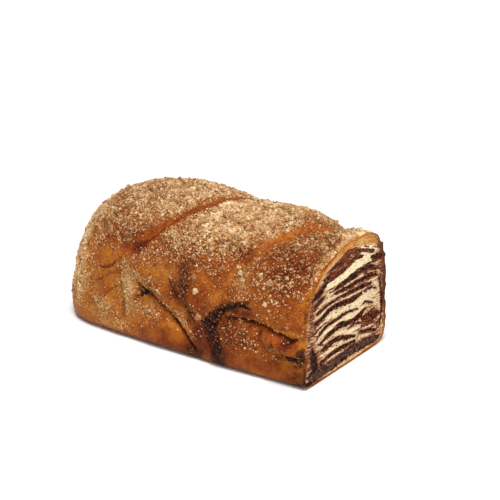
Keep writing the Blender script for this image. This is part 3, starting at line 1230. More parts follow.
CREAM_STREAKS = (
    ((5, 85.8, 0.4), (14, 83.8, 0.6), (23, 81, 0.8), (30, 78.4, 0.8), (36, 75.8, 0.7)),
    ((10, 80, 0.3), (16, 79, 0.6), (22, 77.2, 0.9), (29, 74.8, 0.9)),
    ((-29, 63.6, 0.9), (-22, 63, 1.6), (-17, 61.6, 0.7), (-8, 61.3, 0.5), (2, 60.8, 0.4), (12, 61, 0.4)),
    ((17.5, 64.5, 0.5), (18.5, 62.6, 0.6), (24, 61.8, 0.7), (30, 60.4, 0.8), (36, 59.2, 0.8), (41, 57, 0.6)),
    ((-39, 54.6, 0.6), (-33, 57, 1.0), (-27, 57.8, 1.2), (-19, 57.3, 1.0), (-10, 56.7, 0.8),
     (-2.5, 56.3, 0.6), (4, 56.3, 0.7), (9, 56.2, 0.7), (17, 55.6, 0.8), (25, 54.9, 0.8), (33, 54, 0.8),
     (38, 53.6, 0.6)),
    ((-40, 49.8, 0.5), (-34, 50.6, 0.8), (-28, 51.2, 0.9), (-23.5, 52.2, 0.8), (-19, 52.8, 0.9),
     (-13.6, 52.7, 0.8), (-6.5, 51.8, 0.8), (-0.5, 51.2, 0.7), (6, 51, 0.6), (16.7, 50.4, 0.8),
     (25, 50.6, 0.8), (31, 50.4, 0.9), (36, 50, 0.8)),
    ((-38, 30.4, 0.7), (-35, 31.8, 1.2), (-30, 33.8, 1.4), (-24.5, 35.2, 1.4), (-19, 36.4, 1.4),
     (-10, 36.9, 1.2), (-2.5, 35.9, 1.4), (3, 34.6, 1.3), (9, 33.6, 1.0), (16.7, 35.4, 0.9), (21, 37, 0.7)),
    ((-38, 26.2, 0.6), (-34, 26.2, 0.6), (-30, 26.6, 0.6), (-26, 27.4, 0.9), (-21, 27.8, 1.1),
     (-13.5, 27.8, 1.2), (-5.4, 26.8, 1.2), (0, 24.8, 1.2), (5, 24, 1.3), (12, 23.4, 0.8), (18, 22, 0.5)),
    ((-36, 17.8, 1.2), (-30, 18.6, 1.4), (-21, 18.8, 1.3), (-13.6, 19, 1.3), (-5.4, 18.4, 1.2),
     (0, 17.3, 0.9), (6, 16.5, 0.7), (11, 16.1, 0.5)),
    ((-22, 12.4, 0.5), (-17, 12.6, 0.8), (-10, 12.7, 0.7), (-3.5, 12.3, 0.4)),
    ((20.6, 19.8, 0.7), (26.6, 19.5, 1.0), (32.7, 17.6, 1.1), (36.5, 15.6, 1.1), (38, 13.5, 0.8)),
    ((20, 14.6, 0.8), (26.6, 13.4, 1.0), (32.2, 11.2, 0.9)),
)


def cut_line(route: Route, steps: int) -> Array:
    """Smooth line of a layer or streak in the plane of the cut."""
    line = smooth_route(route, steps)
    line[:, 0] += CUT_MIDDLE
    return line


def cut_sag(y: Array, z: Array) -> Array:
    """How far the uneven cut lies behind its plane at places in it, in millimetres."""
    spot = np.stack([y, z, 0 * y], axis=-1)
    return 0.45 + 0.45 * grain(spot, (15, 11, 1), 58)


@dataclass(frozen=True)
class Soak:
    """An oval of the cut where chocolate has soaked into the dough, or has not where negative."""

    across: float
    up: float
    half_width: float
    half_height: float
    strength: float


SOAKS = (
    Soak(-12, 78.5, 20, 6, 0.4), Soak(-36, 63, 10, 8, 0.35), Soak(-45, 36, 6, 30, 0.4),
    Soak(26, 61, 18, 7, 0.15), Soak(28, 24, 15, 10, 0.3), Soak(-12, 14, 26, 6, 0.05),
    Soak(10, 58, 8, 2.4, 0.9), Soak(-45, 55, 5, 9, 0.2),
    Soak(0, 56, 34, 4, 0.1), Soak(38, 12, 9, 8, 0.35), Soak(-38, 15, 6, 11, 0.9),
    Soak(43, 60, 4, 14, 0.5), Soak(20, 80, 15, 5, -0.65),
    Soak(-8, 68, 26, 2.4, -0.8), Soak(15, 71.5, 18, 3.4, -1.9), Soak(-8, 43.5, 28, 2.6, -0.4),
    Soak(22, 42, 17, 6, -0.3), Soak(36, 38, 8, 12, -0.05), Soak(-6, 36, 24, 2, -0.4),
    Soak(8, 22, 9, 5, -0.15))


@dataclass
class CutFace:
    """The cut through the dough: a slab whose front follows the layers."""

    form: LoafForm
    cell: float = 0.34
    back: float = 3.2
    border: float = 0.45
    slot_depth: float = 1.9
    look_aside: float = 0.02
    span_across: Pair = (-54, 60)
    span_up: Pair = (0.2, 96)
    rim_widths: Table = (
        (0, 5.5), (25, 5.5), (42, 7), (58, 11), (75, 9), (100, 7), (125, 4.8), (150, 3), (180, 3.2),
        (215, 2.4), (240, 2.2), (260, 2.2), (300, 3.0), (330, 4.5), (360, 5.5))
    rim_shades: Table = (
        (0, 1.0), (28, 1.0), (40, 0.95), (48, 0.55), (56, 0.3), (75, 0.08), (115, 0.05), (145, 0.4),
        (165, 0.6), (185, 0.5), (205, 0.75), (225, 0.75), (245, 0.3), (270, 0.0), (300, 0.0), (315, 0.3),
        (335, 0.7), (360, 1.0))

    def outline(self) -> tuple[Array, Array]:
        """Edge of the cut, as directions from its heart in order, and the reach in each."""
        degrees = np.linspace(0, 360, 1440, endpoint=False)
        x = np.full(degrees.shape, HALF_LENGTH - CUT_SETBACK)
        crust = CrustMap(x, degrees, self.form.plain(x, wrapped(degrees)))
        points, _ = self.form.surface(x, degrees, crust.relief)
        off = points[:, 1:] - np.array(CUT_HEART)
        turn = np.arctan2(off[:, 1], off[:, 0])
        order = np.argsort(turn)
        return turn[order], np.hypot(off[:, 0], off[:, 1])[order]

    def inset(self, y: Array, z: Array) -> Array:
        """Distance from places in the cut to its edge, inwards positive."""
        turn, reach = self.outline()
        off_y, off_z = y - CUT_HEART[0], z - CUT_HEART[1]
        here = np.arctan2(off_z, off_y)
        behind, edge, ahead = (
            np.interp(here + aside, turn, reach, period=math.tau)
            for aside in (-self.look_aside, 0.0, self.look_aside))
        slope = (ahead - behind) / (2 * self.look_aside) / edge
        return (edge - np.hypot(off_y, off_z)) / np.sqrt(1 + slope**2)

    @staticmethod
    def to_lines(y: Array, z: Array, routes: list[Route] | tuple[Route, ...], steps: int = 3) -> Array:
        """Distance from places in the cut to the edge of the nearest line, negative inside it."""
        found = (distance_to_line(y, z, cut_line(route, steps)) for route in routes)
        return np.min([np.abs(off) - half for off, half, _ in found], axis=0)

    def flow(self, y: Array, z: Array) -> Array:
        """Coordinates that follow the layers: along them, across them, and nothing."""
        known, bends = [], []
        for layer in LEVEL_LAYERS:
            line = cut_line(layer.points, 2)
            level = np.interp(0, line[:, 0], line[:, 1])
            known.append(line[:, :2])
            bends.append(line[:, 1] - level)
        known, bends = np.concatenate(known), np.concatenate(bends)
        total, weight = np.zeros(np.shape(y)), np.zeros(np.shape(y))
        for (at_y, at_z), bend in zip(known, bends):
            near = 1 / (((y - at_y) / 2) ** 2 + (z - at_z) ** 2 + 4) ** 1.5
            total += near * bend
            weight += near
        return np.stack([y, z - total / weight, 0 * y], axis=-1)

    def soak(self, y: Array, z: Array, near: Array) -> Array:
        """How much chocolate has soaked into the dough at places in the cut."""
        value = 0.46 + 0.25 * np.exp(-((np.maximum(near, 0) / 1.1) ** 2))
        for soak in SOAKS:
            across = (y - CUT_MIDDLE - soak.across) / soak.half_width
            value = value + soak.strength * oval(across, (z - soak.up) / soak.half_height)
        return np.clip(value, -0.8, 1)

    def grid(self) -> tuple[Array, Array, Array, Array]:
        """Lay a grid over the cut.

        Returns:
            The places across and up, how far each lies from the edge, and the faces.
        """
        across, up = (np.arange(*span, self.cell) for span in (self.span_across, self.span_up))
        y, z = np.meshgrid(across, up, indexing="ij")
        inset = self.inset(y, z)
        inside = inset > self.border
        whole = inside[:-1, :-1] & inside[1:, :-1] & inside[1:, 1:] & inside[:-1, 1:]
        used = np.zeros(inside.shape, bool)
        for i, j in product((0, 1), repeat=2):
            used[i:used.shape[0] - 1 + i, j:used.shape[1] - 1 + j] |= whole
        number = np.full(used.shape, -1)
        number[used] = np.arange(used.sum())
        corners = [number[:-1, :-1], number[1:, :-1], number[1:, 1:], number[:-1, 1:]]
        faces = np.stack([corner[whole] for corner in corners], axis=1)
        return y[used], z[used], inset[used], faces

    def depth(self, sag: Array, flow: Array, near: Array, thin: Array, pale: Array) -> Array:
        """How far the dough lies behind the plane of the cut.

        Args:
            sag: How far the uneven cut itself lies behind it.
            flow: Coordinates that follow the layers.
            near: Distance to the edge of the nearest layer.
            thin: Distance to the edge of the nearest thin streak.
            pale: How much of a cream streak is at each place.

        Returns:
            The depth at each place, in millimetres.
        """
        fibre = grain(flow, (9, 0.9, 1), 51)
        thread = grain(flow, (2.6, 0.55, 1), 53)
        pores = grain(flow, (2.2, 1.1, 1), 55)
        depth = sag + 0.3 * fibre + 0.22 * thread + 1.1 * rise(pores, 0.42, 0.75)
        depth += self.slot_depth * (1 - rise(near, -1.0, 0.1)) + 0.5 * (1 - rise(thin, -0.5, 0.3))
        return np.clip(depth - 0.25 * pale, 0.0, self.slot_depth + 0.8)

    def build(self, material: Material) -> Piece:
        """Make the slab with its masks as attributes.

        Args:
            material: The dough's material.

        Returns:
            The piece.
        """
        y, z, inset, faces = self.grid()
        flow = self.flow(y, z)
        ragged = 0.7 * grain(flow, (1.8, 1.0, 1), 41) + 0.45 * grain(flow, (5, 2.2, 1), 43)
        near = self.to_lines(y, z, [layer.points for layer in LAYERS], 6) + ragged
        thin = self.to_lines(y, z, THIN_STREAKS) + ragged
        pale = self.to_lines(y, z, CREAM_STREAKS) + 1.1 * ragged
        pale = (1 - rise(pale, -0.5, 0.45)) * np.clip(0.75 + 0.7 * grain(flow, (6, 1.3, 1), 59), 0.1, 1)
        depth = self.depth(cut_sag(y, z), flow, near, thin, pale)
        depth = np.maximum(depth, 1.2 * (1 - rise(inset, self.border, self.border + 0.5)))
        points = np.stack([HALF_LENGTH - depth, y, z], axis=-1)
        piece = mesh_object("cut_dough", points, faces.tolist(), material)
        turn = np.arctan2(z - CUT_HEART[1], y - CUT_HEART[0])
        rim_width = read(self.rim_widths, np.degrees(turn) % 360)
        values = {
            "near": np.maximum(
                (1 - rise(near, -0.3, 1.1)) * (1 - 0.8 * pale * rise(near, -0.1, 0.4)),
                0.95 * (1 - rise(thin, -0.5, 0.5)) + 0.5 * (1 - rise(thin, -1.8, -0.6))),
            "soak": self.soak(y, z, np.minimum(near, thin + 0.3)) - 0.42 * pale,
            "rim": 1 - rise(inset + 0.8 * grain(points, 3, 57), 0.55 * rim_width, rim_width),
            "edge": 1 - rise(inset, self.border + 0.1, self.border + 0.8),
            "shade": read(self.rim_shades, np.degrees(turn) % 360),
            "flow": flow,
            "skin": np.stack([turn * 45, inset, 0 * turn], axis=-1),
        }
        for name, value in values.items():
            add_values(piece, name, value)
        self._close(piece)
        return piece

    def _close(self, piece: Piece) -> None:
        """Give the slab its side and its back."""
        shape = bmesh.new()
        shape.from_mesh(piece.data)
        border = [edge for edge in shape.edges if edge.is_boundary]
        made = bmesh.ops.extrude_edge_only(shape, edges=border)["geom"]
        for vert in made:
            if isinstance(vert, bmesh.types.BMVert):
                vert.co.x = (HALF_LENGTH - self.back) * MM
        loop = [edge for edge in made if isinstance(edge, bmesh.types.BMEdge)]
        bmesh.ops.contextual_create(shape, geom=loop)
        bmesh.ops.triangulate(shape, faces=[face for face in shape.faces if len(face.verts) > 4])
        bmesh.ops.recalc_face_normals(shape, faces=shape.faces)
        shape.to_mesh(piece.data)
        shape.free()


@dataclass
class Ribbons:
    """The chocolate layers: lumpy at the cut, and running on through the loaf behind it."""

    form: LoafForm
    step: float = 0.45
    rows: int = 9
    fewest: int = 14
    sunk: float = 0.3
    stations: tuple[float, ...] = (112.3, 92.0, 10.0, -80.0)
    inset: float = 0.88

    def _outline_at(self, y: Array, z: Array, station: float) -> tuple[Array, Array]:
        """Where a point of the cut lies at a station farther in."""
        inset = 1.0 if station == self.stations[0] else self.inset
        rounding = self.form.end_rounding(station, *self.form.end_top)
        width = smooth_value(station, self.form.half_width) * rounding
        width = width / smooth_value(HALF_LENGTH, self.form.half_width)
        top = smooth_value(station, self.form.top_height)
        top = top / smooth_value(HALF_LENGTH, self.form.top_height)
        shift = smooth_value(station, self.form.axis_shift)
        return shift + (y - CUT_MIDDLE) * width * inset, z * top * (1 - (1 - inset) * z / 60)

    def _spine(self, layer: FillingLayer) -> tuple[Array, ...]:
        """Line of a layer at the cut, with rounded ends.

        Args:
            layer: The layer.

        Returns:
            At each of its places: the run so far, the place across and up, half the thickness,
            and the direction over to the layer's left.
        """
        line = cut_line(layer.points, 6)
        run = run_along(line[:, :2])
        count = max(self.fewest, round((run[-1] + line[0, 2] + line[-1, 2]) / self.step))
        marks = np.linspace(-line[0, 2], run[-1] + line[-1, 2], count)
        y, z, half = (np.interp(marks, run, line[:, k]) for k in range(3))
        for end, inner, past in ((0, 1, -marks), (-1, -2, marks - run[-1])):
            away = unit(line[end, :2] - line[inner, :2])
            reach = np.maximum(past, 0)
            y, z = y + away[0] * reach, z + away[1] * reach
        inner = np.clip(np.minimum(marks - marks[0], marks[-1] - marks) / np.maximum(half, 0.4) / 2.4, 0, 1)
        half = half * np.sqrt(1 - (1 - inner) ** 2)
        ahead = unit(np.gradient(np.stack([y, z], axis=-1), axis=0))
        return marks, y, z, half, np.stack([-ahead[:, 1], ahead[:, 0]], axis=-1)

    def build(self, number: int, layer: FillingLayer, material: Material) -> Piece:
        """Make one layer.

        Args:
            number: Its number, counted from one.
            layer: The layer at the cut.
            material: The chocolate's material.

        Returns:
            The piece.
        """
        marks, y, z, half, side = self._spine(layer)
        spot = np.stack([marks, 0 * marks, 0 * marks + number * 13.7], axis=-1)
        rows = np.linspace(-1, 1, self.rows)
        front = []
        for v in rows:
            swell = 1.1 + 1.9 * grain(spot + [0, 5 * v, 0], (2.6, 1.5, 1), 61)
            reach = half * np.maximum(swell, 0.25) * v + (0.4 + 0.35 * half) * grain(spot, (3.4, 1, 1), 63)
            row_y, row_z = y + side[:, 0] * reach, z + side[:, 1] * reach
            lump = grain(np.stack([row_y, row_z, spot[:, 2]], axis=-1), (1.5, 1.5, 1), 65)
            sunk = self.sunk + cut_sag(row_y, row_z) + 0.7 * abs(v) ** 4
            row_x = np.minimum(HALF_LENGTH - sunk + 0.55 * lump, HALF_LENGTH)
            front.append(np.stack([row_x, row_y, np.maximum(row_z, 0.4)], axis=-1))
        piece = self._loft(f"chocolate_layer_{number:02d}", np.array(front), material, layer.warmth)
        from_heart = np.ones(len(piece.data.vertices))
        from_heart[:self.rows * len(marks)] = np.repeat(rows**2, len(marks))
        add_values(piece, "edge", from_heart)
        return piece

    def _loft(self, name: str, front: Array, material: Material, warmth: float) -> Piece:
        """Run a front grid back through the loaf and close it."""
        rows, count = front.shape[:2]
        number = np.arange(rows * count).reshape(rows, count)
        faces = [
            (number[i, j], number[i, j + 1], number[i + 1, j + 1], number[i + 1, j])
            for i, j in product(range(rows - 1), range(count - 1))]
        loop = np.concatenate([number[0, :-1], number[:-1, -1], number[-1, :0:-1], number[:0:-1, 0]])
        vertices = [front.reshape(-1, 3)]
        edge = front.reshape(-1, 3)[loop]
        previous, total = loop, rows * count
        for station in self.stations:
            y, z = self._outline_at(edge[:, 1], edge[:, 2], station)
            vertices.append(np.stack([np.full(len(loop), station), y, z], axis=-1))
            here = np.arange(total, total + len(loop))
            total += len(loop)
            faces += zip(previous, np.roll(previous, -1), np.roll(here, -1), here)
            previous = here
        faces.append(tuple(previous))
        faces = [tuple(int(v) for v in face) for face in faces]
        piece = mesh_object(name, np.concatenate(vertices), faces, material)
        add_values(piece, "warmth", np.full(total, warmth))
        face_outwards(piece)
        return piece


@dataclass(frozen=True)
class Outbreak:
    """Chocolate squeezed out of a fold; each point of its route also has the rope's radius."""

    name: str
    lift: float
    warmth: float
    route: Route
    sides: int = 40
    step: float = 0.5
    flatness: float = 0.85
    end_length: float = 1.6

    def build(self, form: LoafForm, material: Material) -> Piece:
        """Make the lumpy rope.

        Args:
            form: The loaf's form, which the rope lies on.
            material: The chocolate's material.

        Returns:
            The piece.
        """
        route = smooth_route(self.route, 8)
        line, outward = form.surface(route[:, 0], route[:, 1])
        line = line + outward * self.lift
        run = run_along(line)
        marks = np.linspace(0, run[-1], round(run[-1] / self.step))
        line, outward = (
            np.stack([np.interp(marks, run, rows[:, k]) for k in range(3)], axis=-1)
            for rows in (line, outward))
        side = unit(np.cross(unit(np.gradient(line, axis=0)), outward))
        radius = np.interp(marks, run, route[:, 2])
        from_end = np.minimum(marks, run[-1] - marks)
        radius = radius * np.sqrt(1 - (1 - np.clip(from_end / self.end_length, 0.08, 1)) ** 2)
        turn = np.linspace(0, math.tau, self.sides, endpoint=False)[None, :, None]
        direction = np.cos(turn) * side[:, None] + self.flatness * np.sin(turn) * outward[:, None]
        points = line[:, None] + direction * radius[:, None, None]
        lumps = 0.6 * grain(points, 4.5, 71) + 0.65 * grain(points, 1.9, 73)
        lumps += 0.35 * grain(points, 1.1, 79)
        points = line[:, None] + direction * (radius[:, None] * (1 + lumps))[..., None]
        vertices, faces = closed_rings(points, line[[0, -1]])
        vertices[:, 2] = np.maximum(vertices[:, 2], 0.2)
        piece = mesh_object(f"chocolate_{self.name}", vertices, faces, material)
        add_values(piece, "warmth", self.warmth + 0.5 * grain(vertices, 3.2, 75))
        face_outwards(piece)
        return piece


OUTBREAKS = (
    Outbreak("curl", -0.8, 0.35, (
        (71, 166.5, 1.2), (64, 166.5, 1.5), (57, 168.5, 2.0), (51, 172.5, 2.6), (45, 177.5, 3.4),
        (40, 182.5, 3.9), (37, 188, 3.9), (38, 194, 3.4), (42, 199, 3.4), (45, 204, 3.2),
        (45, 208, 2.4))),
    Outbreak("smear", -2.8, 0.9, (
        (13, 156, 2.8), (14.5, 163, 4.4), (15, 171, 4.6), (17, 180, 3.2))),
    Outbreak("seam", -0.5, 0.0, ((-29, 186, 1.0), (-23, 182, 1.8), (-17, 179.5, 1.8), (-12, 180.5, 1.0))),
    Outbreak("corner", -1.2, 0.1, ((97, 202, 1.2), (102, 203, 2.4), (107, 203, 2.6), (112, 201.5, 1.8))),
)


# Crumbs


class CrumbShape(Enum):
    """Shapes of one crumb: grain, crumb, or lump of several balls."""

    GRAIN = 1
    CRUMB = 2
    LUMP = 3


@dataclass(frozen=True)
class Strewing:
    """How crumbs are strewn; a crumb's size is its radius in millimetres."""

    spacing: float
    per_square_mm: float
    smallest: float
    largest: float


COARSE = Strewing(0.8, 0.62, 0.4, 1.6)
POWDER = Strewing(0.5, 1.3, 0.26, 0.55)
BITS = Strewing(0.5, 1.3, 0.26, 0.9)


class CrumbKind(Enum):
    """Kinds of fine crumb: name, mask, shape, strewing, seed and light and deep colours."""

    PALE = ("pale", "cover", CrumbShape.CRUMB, COARSE, 3, tone(254, 230, 186), tone(190, 136, 80))
    GOLDEN = ("golden", "cover", CrumbShape.CRUMB, COARSE, 8, tone(244, 206, 150), tone(150, 96, 48))
    TOASTED = ("toasted", "cover", CrumbShape.CRUMB, COARSE, 15, tone(226, 174, 116), tone(104, 58, 28))
    DUST = ("dust", "dust", CrumbShape.GRAIN, POWDER, 42, tone(246, 212, 160), tone(146, 88, 44))
    CHOCOLATE = ("chocolate", "bits", CrumbShape.CRUMB, BITS, 27, tone(70, 34, 22), tone(26, 11, 8))


@dataclass
class CrumbTree:
    """Geometry nodes that strew crumbs over a mesh, or set one on each of its points."""

    shape: CrumbShape
    scattered: bool = True
    lump_parts: tuple[tuple[float, Place], ...] = (
        (0.86, (0.0, 0.0, 0.0)), (0.6, (0.55, 0.2, 0.1)), (0.5, (-0.35, 0.5, 0.2)),
        (0.48, (-0.2, -0.45, 0.4)), (0.4, (0.2, 0.35, -0.6)))

    def group(self) -> bpy.types.NodeTree:
        """Build the tree with its named inputs."""
        tree = bpy.data.node_groups.new("crumbs", "GeometryNodeTree")
        sockets = tree.interface
        sockets.new_socket("Geometry", in_out="OUTPUT", socket_type="NodeSocketGeometry")
        kinds = (
            ("Geometry", "Geometry"), ("Mask", "String"), ("Spacing", "Float"), ("Density", "Float"),
            ("Smallest", "Float"), ("Largest", "Float"), ("Lift", "Float"), ("Unevenness", "Float"),
            ("Seed", "Int"), ("Material", "Material"))
        for name, kind in kinds:
            sockets.new_socket(name, in_out="INPUT", socket_type=f"NodeSocket{kind}")
        nodes = NodeBuilder(tree)
        given = tree.nodes.new("NodeGroupInput")
        inputs = {name: Signal(nodes, given.outputs[name]) for name, _ in kinds}
        seed = inputs["Seed"]
        mask, clump, bake = (self._stored(nodes, name) for name in (inputs["Mask"], "clump", "bake"))
        if self.scattered:
            points, normal = self._strewn(nodes, inputs, mask, clump)
            largeness = (self._random(nodes, 0.0, 0.7, seed + 1) + clump * 0.3) ** 1.9 * (mask * 0.7 + 0.3)
            size = inputs["Smallest"] + largeness * (inputs["Largest"] - inputs["Smallest"])
        else:
            points, size = inputs["Geometry"], mask
            normal = self._stored(nodes, "outward", "FLOAT_VECTOR")
        lift = nodes.scale(normal, self._random(nodes, -0.3, 1.0, seed + 2) * inputs["Lift"])
        placed = nodes.make("GeometryNodeSetPosition", None, {"Geometry": points, "Offset": lift})
        turn = self._random(nodes, (0.0,) * 3, (math.tau,) * 3, seed + 3)
        stretch = self._random(nodes, (0.6,) * 3, (1.25,) * 3, seed + 4)
        laying = {
            "Points": placed, "Instance": self._crumb(nodes), "Rotation": turn,
            "Scale": nodes.scale(stretch, size)}
        laid = nodes.make("GeometryNodeInstanceOnPoints", None, laying, "Instances")
        tint = self._random(nodes, 0.0, 0.5, seed + 5) + (1 - clump) * 0.3 + (bake - 0.3) * 0.6
        tinted = nodes.make(
            "GeometryNodeStoreNamedAttribute", {"domain": "INSTANCE", "data_type": "FLOAT"},
            {"Geometry": laid, "Name": "tint", "Value": tint})
        real = nodes.make("GeometryNodeRealizeInstances", None, {"Geometry": tinted})
        spot = nodes.make("GeometryNodeInputPosition")
        ragged = nodes.make(
            "ShaderNodeTexNoise", None, {"Vector": spot, "Scale": 900.0, "Detail": 1.0}, "Color")
        middle = nodes.make("ShaderNodeVectorMath", {"operation": "SUBTRACT"}, {0: ragged, 1: (0.5,) * 3})
        shove = nodes.scale(middle, inputs["Unevenness"])
        uneven = nodes.make("GeometryNodeSetPosition", None, {"Geometry": real, "Offset": shove})
        coated = nodes.make(
            "GeometryNodeSetMaterial", None, {"Geometry": uneven, "Material": inputs["Material"]})
        out = tree.nodes.new("NodeGroupOutput")
        tree.links.new(coated.socket, out.inputs["Geometry"])
        return tree

    @staticmethod
    def _stored(nodes: NodeBuilder, name: Signal | str, kind: str = "FLOAT") -> Signal:
        """Read an attribute of the mesh."""
        return nodes.make("GeometryNodeInputNamedAttribute", {"data_type": kind}, {"Name": name})

    @staticmethod
    def _random(nodes: NodeBuilder, low: float | tuple, high: float | tuple, seed: Signal) -> Signal:
        """One random number, or one random vector, for each point."""
        kind = "FLOAT_VECTOR" if isinstance(low, tuple) else "FLOAT"
        inputs = {"Min": low, "Max": high, "Seed": seed}
        return nodes.make("FunctionNodeRandomValue", {"data_type": kind}, inputs, "Value")

    @staticmethod
    def _strewn(nodes: NodeBuilder, inputs: dict, mask: Signal, clump: Signal) -> tuple[Signal, Signal]:
        """Points strewn over the mesh by its mask, and the mesh's normal at each."""
        node_inputs = {
            "Mesh": inputs["Geometry"], "Distance Min": inputs["Spacing"],
            "Density Max": inputs["Density"], "Density Factor": mask * (clump * 0.5 + 0.6),
            "Seed": inputs["Seed"]}
        points = nodes.make(
            "GeometryNodeDistributePointsOnFaces", {"distribute_method": "POISSON"}, node_inputs, "Points")
        return points, Signal(nodes, points.socket.node.outputs["Normal"])

    def _crumb(self, nodes: NodeBuilder) -> Signal:
        """The plain crumb, one metre in radius, which every point gets its own size of."""
        if self.shape is CrumbShape.GRAIN:
            sizes = {"Segments": 4, "Rings": 2, "Radius": 1.0}
            return nodes.make("GeometryNodeMeshUVSphere", None, sizes, "Mesh")
        if self.shape is CrumbShape.CRUMB:
            return nodes.make("GeometryNodeMeshIcoSphere", None, {"Radius": 1.0, "Subdivisions": 1}, "Mesh")
        parts = []
        for radius, place in self.lump_parts:
            ball = nodes.make(
                "GeometryNodeMeshIcoSphere", None, {"Radius": radius, "Subdivisions": 2}, "Mesh")
            parts.append(nodes.make("GeometryNodeTransform", None, {"Geometry": ball, "Translation": place}))
        return nodes.make("GeometryNodeJoinGeometry", None, {"Geometry": parts})

    def apply(self, name: str, source: bpy.types.Mesh, settings: dict, material: Material) -> Piece:
        """Run the tree on a mesh and keep the result as a plain mesh.

        Args:
            name: Name of the piece.
            source: Mesh that the crumbs lie on.
            settings: Values of the tree's inputs by name.
            material: The crumbs' material.

        Returns:
            The piece.
        """
        tree = self.group()
        holder = into_scene(f"{name}_source", source)
        modifier = holder.modifiers.new("crumbs", "NODES")
        modifier.node_group = tree
        for item in tree.interface.items_tree:
            if item.in_out == "INPUT" and item.name in settings:
                modifier[item.identifier] = settings[item.name]
            if item.name == "Material":
                modifier[item.identifier] = material
        depsgraph = bpy.context.evaluated_depsgraph_get()
        mesh = bpy.data.meshes.new_from_object(holder.evaluated_get(depsgraph))
        bpy.data.objects.remove(holder)
        mesh.name = name
        mesh.shade_smooth()
        return into_scene(name, mesh)


@dataclass
class Streusel:
    """The crumb topping: fine crumbs of several bakes, and the large ones of the solid."""

    form: LoafForm
    crust: Piece
    lift: float = 0.5
    unevenness: float = 1.2
    subsurface: float = 0.12
    placed: Route = (
        (57, 147, 2.2), (61, 151, 1.9), (54, 143.5, 1.8), (93, 142, 2.1), (26, 167, 2.1),
        (82, 163, 1.7), (74, 145, 1.7), (-31, 157, 1.8), (97, 153, 1.5))
    large_count: int = 180
    large_radius: Pair = (1.3, 2.3)
    large_spacing: float = 6.5
    large_seed: int = 11
    large_tries: int = 9000
    large_sunk: float = 0.2
    large_lift: float = 0.1
    large_unevenness: float = 2.8
    large_bakes: Pair = (1.0, 0.75)
    flank_from: float = 145.0
    clear_of_ends: Pair = (10.3, 5.0)
    degrees_used: Pair = (8.0, 206.0)
    clear_of_rope: float = 2.0
    large_cover: Table = (
        (5, 0.05), (35, 0.4), (55, 1), (135, 1), (160, 0.3), (180, 0.15), (203, 0.12), (206, 0))
    bare_flank: Table = ((-66, 12), (162, 8))

    def fine(self, kind: CrumbKind) -> Piece:
        """Strew one kind of fine crumb over the crust."""
        label, mask, shape, strewn, seed, light, deep = kind.value
        sizes = {
            "Spacing": strewn.spacing, "Smallest": strewn.smallest, "Largest": strewn.largest,
            "Lift": self.lift, "Unevenness": self.unevenness}
        settings = {key: size * MM for key, size in sizes.items()}
        settings |= {"Mask": mask, "Density": strewn.per_square_mm / MM**2, "Seed": seed}
        subsurface = 0.0 if kind is CrumbKind.CHOCOLATE else self.subsurface
        name = f"crumbs_{label}"
        finish = CrumbFinish(name, 0.75, 0.25, subsurface, light=light, deep=deep)
        return CrumbTree(shape).apply(name, self.crust.data, settings, finish.material())

    def large(self) -> Piece:
        """Set the large crumbs at the same places as in the solid."""
        places = self._large_places(random.Random(self.large_seed))
        x, degrees, radius = (np.array([place[k] for place in places]) for k in range(3))
        points, outward = self.form.surface(x, degrees)
        mesh = bpy.data.meshes.new("large crumb places")
        mesh.from_pydata(((points + outward * radius[:, None] * self.large_sunk) * MM).tolist(), [], [])
        holder = bpy.data.objects.new("large crumb places", mesh)
        add_values(holder, "radius", radius * MM)
        add_values(holder, "outward", outward)
        add_values(holder, "clump", np.full(len(places), 0.5))
        bake = np.where(degrees > self.flank_from, *self.large_bakes)
        bake[:len(self.placed)] = 0.0
        add_values(holder, "bake", bake)
        bpy.data.objects.remove(holder)
        settings = {
            "Mask": "radius", "Lift": self.large_lift * MM, "Seed": 5,
            "Unevenness": self.large_unevenness * MM}
        light, deep = tone(240, 212, 164), tone(158, 100, 54)
        finish = CrumbFinish("crumbs_large", 0.75, 0.25, self.subsurface, light=light, deep=deep)
        tree = CrumbTree(CrumbShape.LUMP, scattered=False)
        return tree.apply("crumbs_large", mesh, settings, finish.material())

    def _large_places(self, draw: random.Random) -> list[Place]:
        """Places (along, degrees, radius) by the same seeded rule as the solid's crumbs."""
        smallest, largest = self.large_radius
        places = [(self._unrolled_place(x, degrees), degrees, radius) for x, degrees, radius in self.placed]
        for _ in range(self.large_tries):
            x = draw.uniform(self.clear_of_ends[0] - HALF_LENGTH, HALF_LENGTH - self.clear_of_ends[1])
            degrees = draw.uniform(*self.degrees_used)
            chance, radius = draw.random(), smallest + (largest - smallest) * draw.random() ** 2
            here = self._unrolled_place(x, degrees)
            crowded = any(np.linalg.norm(here - there) < self.large_spacing for there, _, _ in places)
            if len(places) == self.large_count or crowded or chance > self._large_cover(x, degrees):
                continue
            if all(self._clear_of(rope, x, degrees, radius) for rope in OUTBREAKS):
                places.append((here, degrees, radius))
        return [(here[0], degrees, radius) for here, degrees, radius in places]

    @staticmethod
    def _unrolled_place(x: float, degrees: float) -> Array:
        """A place on the unrolled crust, in millimetres along the loaf and round it."""
        return np.array([x, around(degrees)])

    def _large_cover(self, x: float, degrees: float) -> float:
        """Share of the crust that the topping covers, as in the solid's rule."""
        cover = float(read(self.large_cover, degrees))
        for fold in TWISTS:
            off, _, _ = distance_to_line(x, around(degrees), unrolled(fold.route))
            cover *= 1 - math.exp(-((float(off) / fold.left / 0.6) ** 2))
        off = [(at - middle) / half for at, (middle, half) in zip((x, degrees), self.bare_flank)]
        return 0.0 if math.hypot(*off) < 1 else cover

    def _clear_of(self, rope: Outbreak, x: float, degrees: float, radius: float) -> bool:
        """Whether a large crumb stays clear of a rope of chocolate."""
        off, rope_radius, _ = distance_to_line(x, around(degrees), unrolled(rope.route))
        return abs(float(off)) > float(rope_radius) + radius + self.clear_of_rope


# Studio


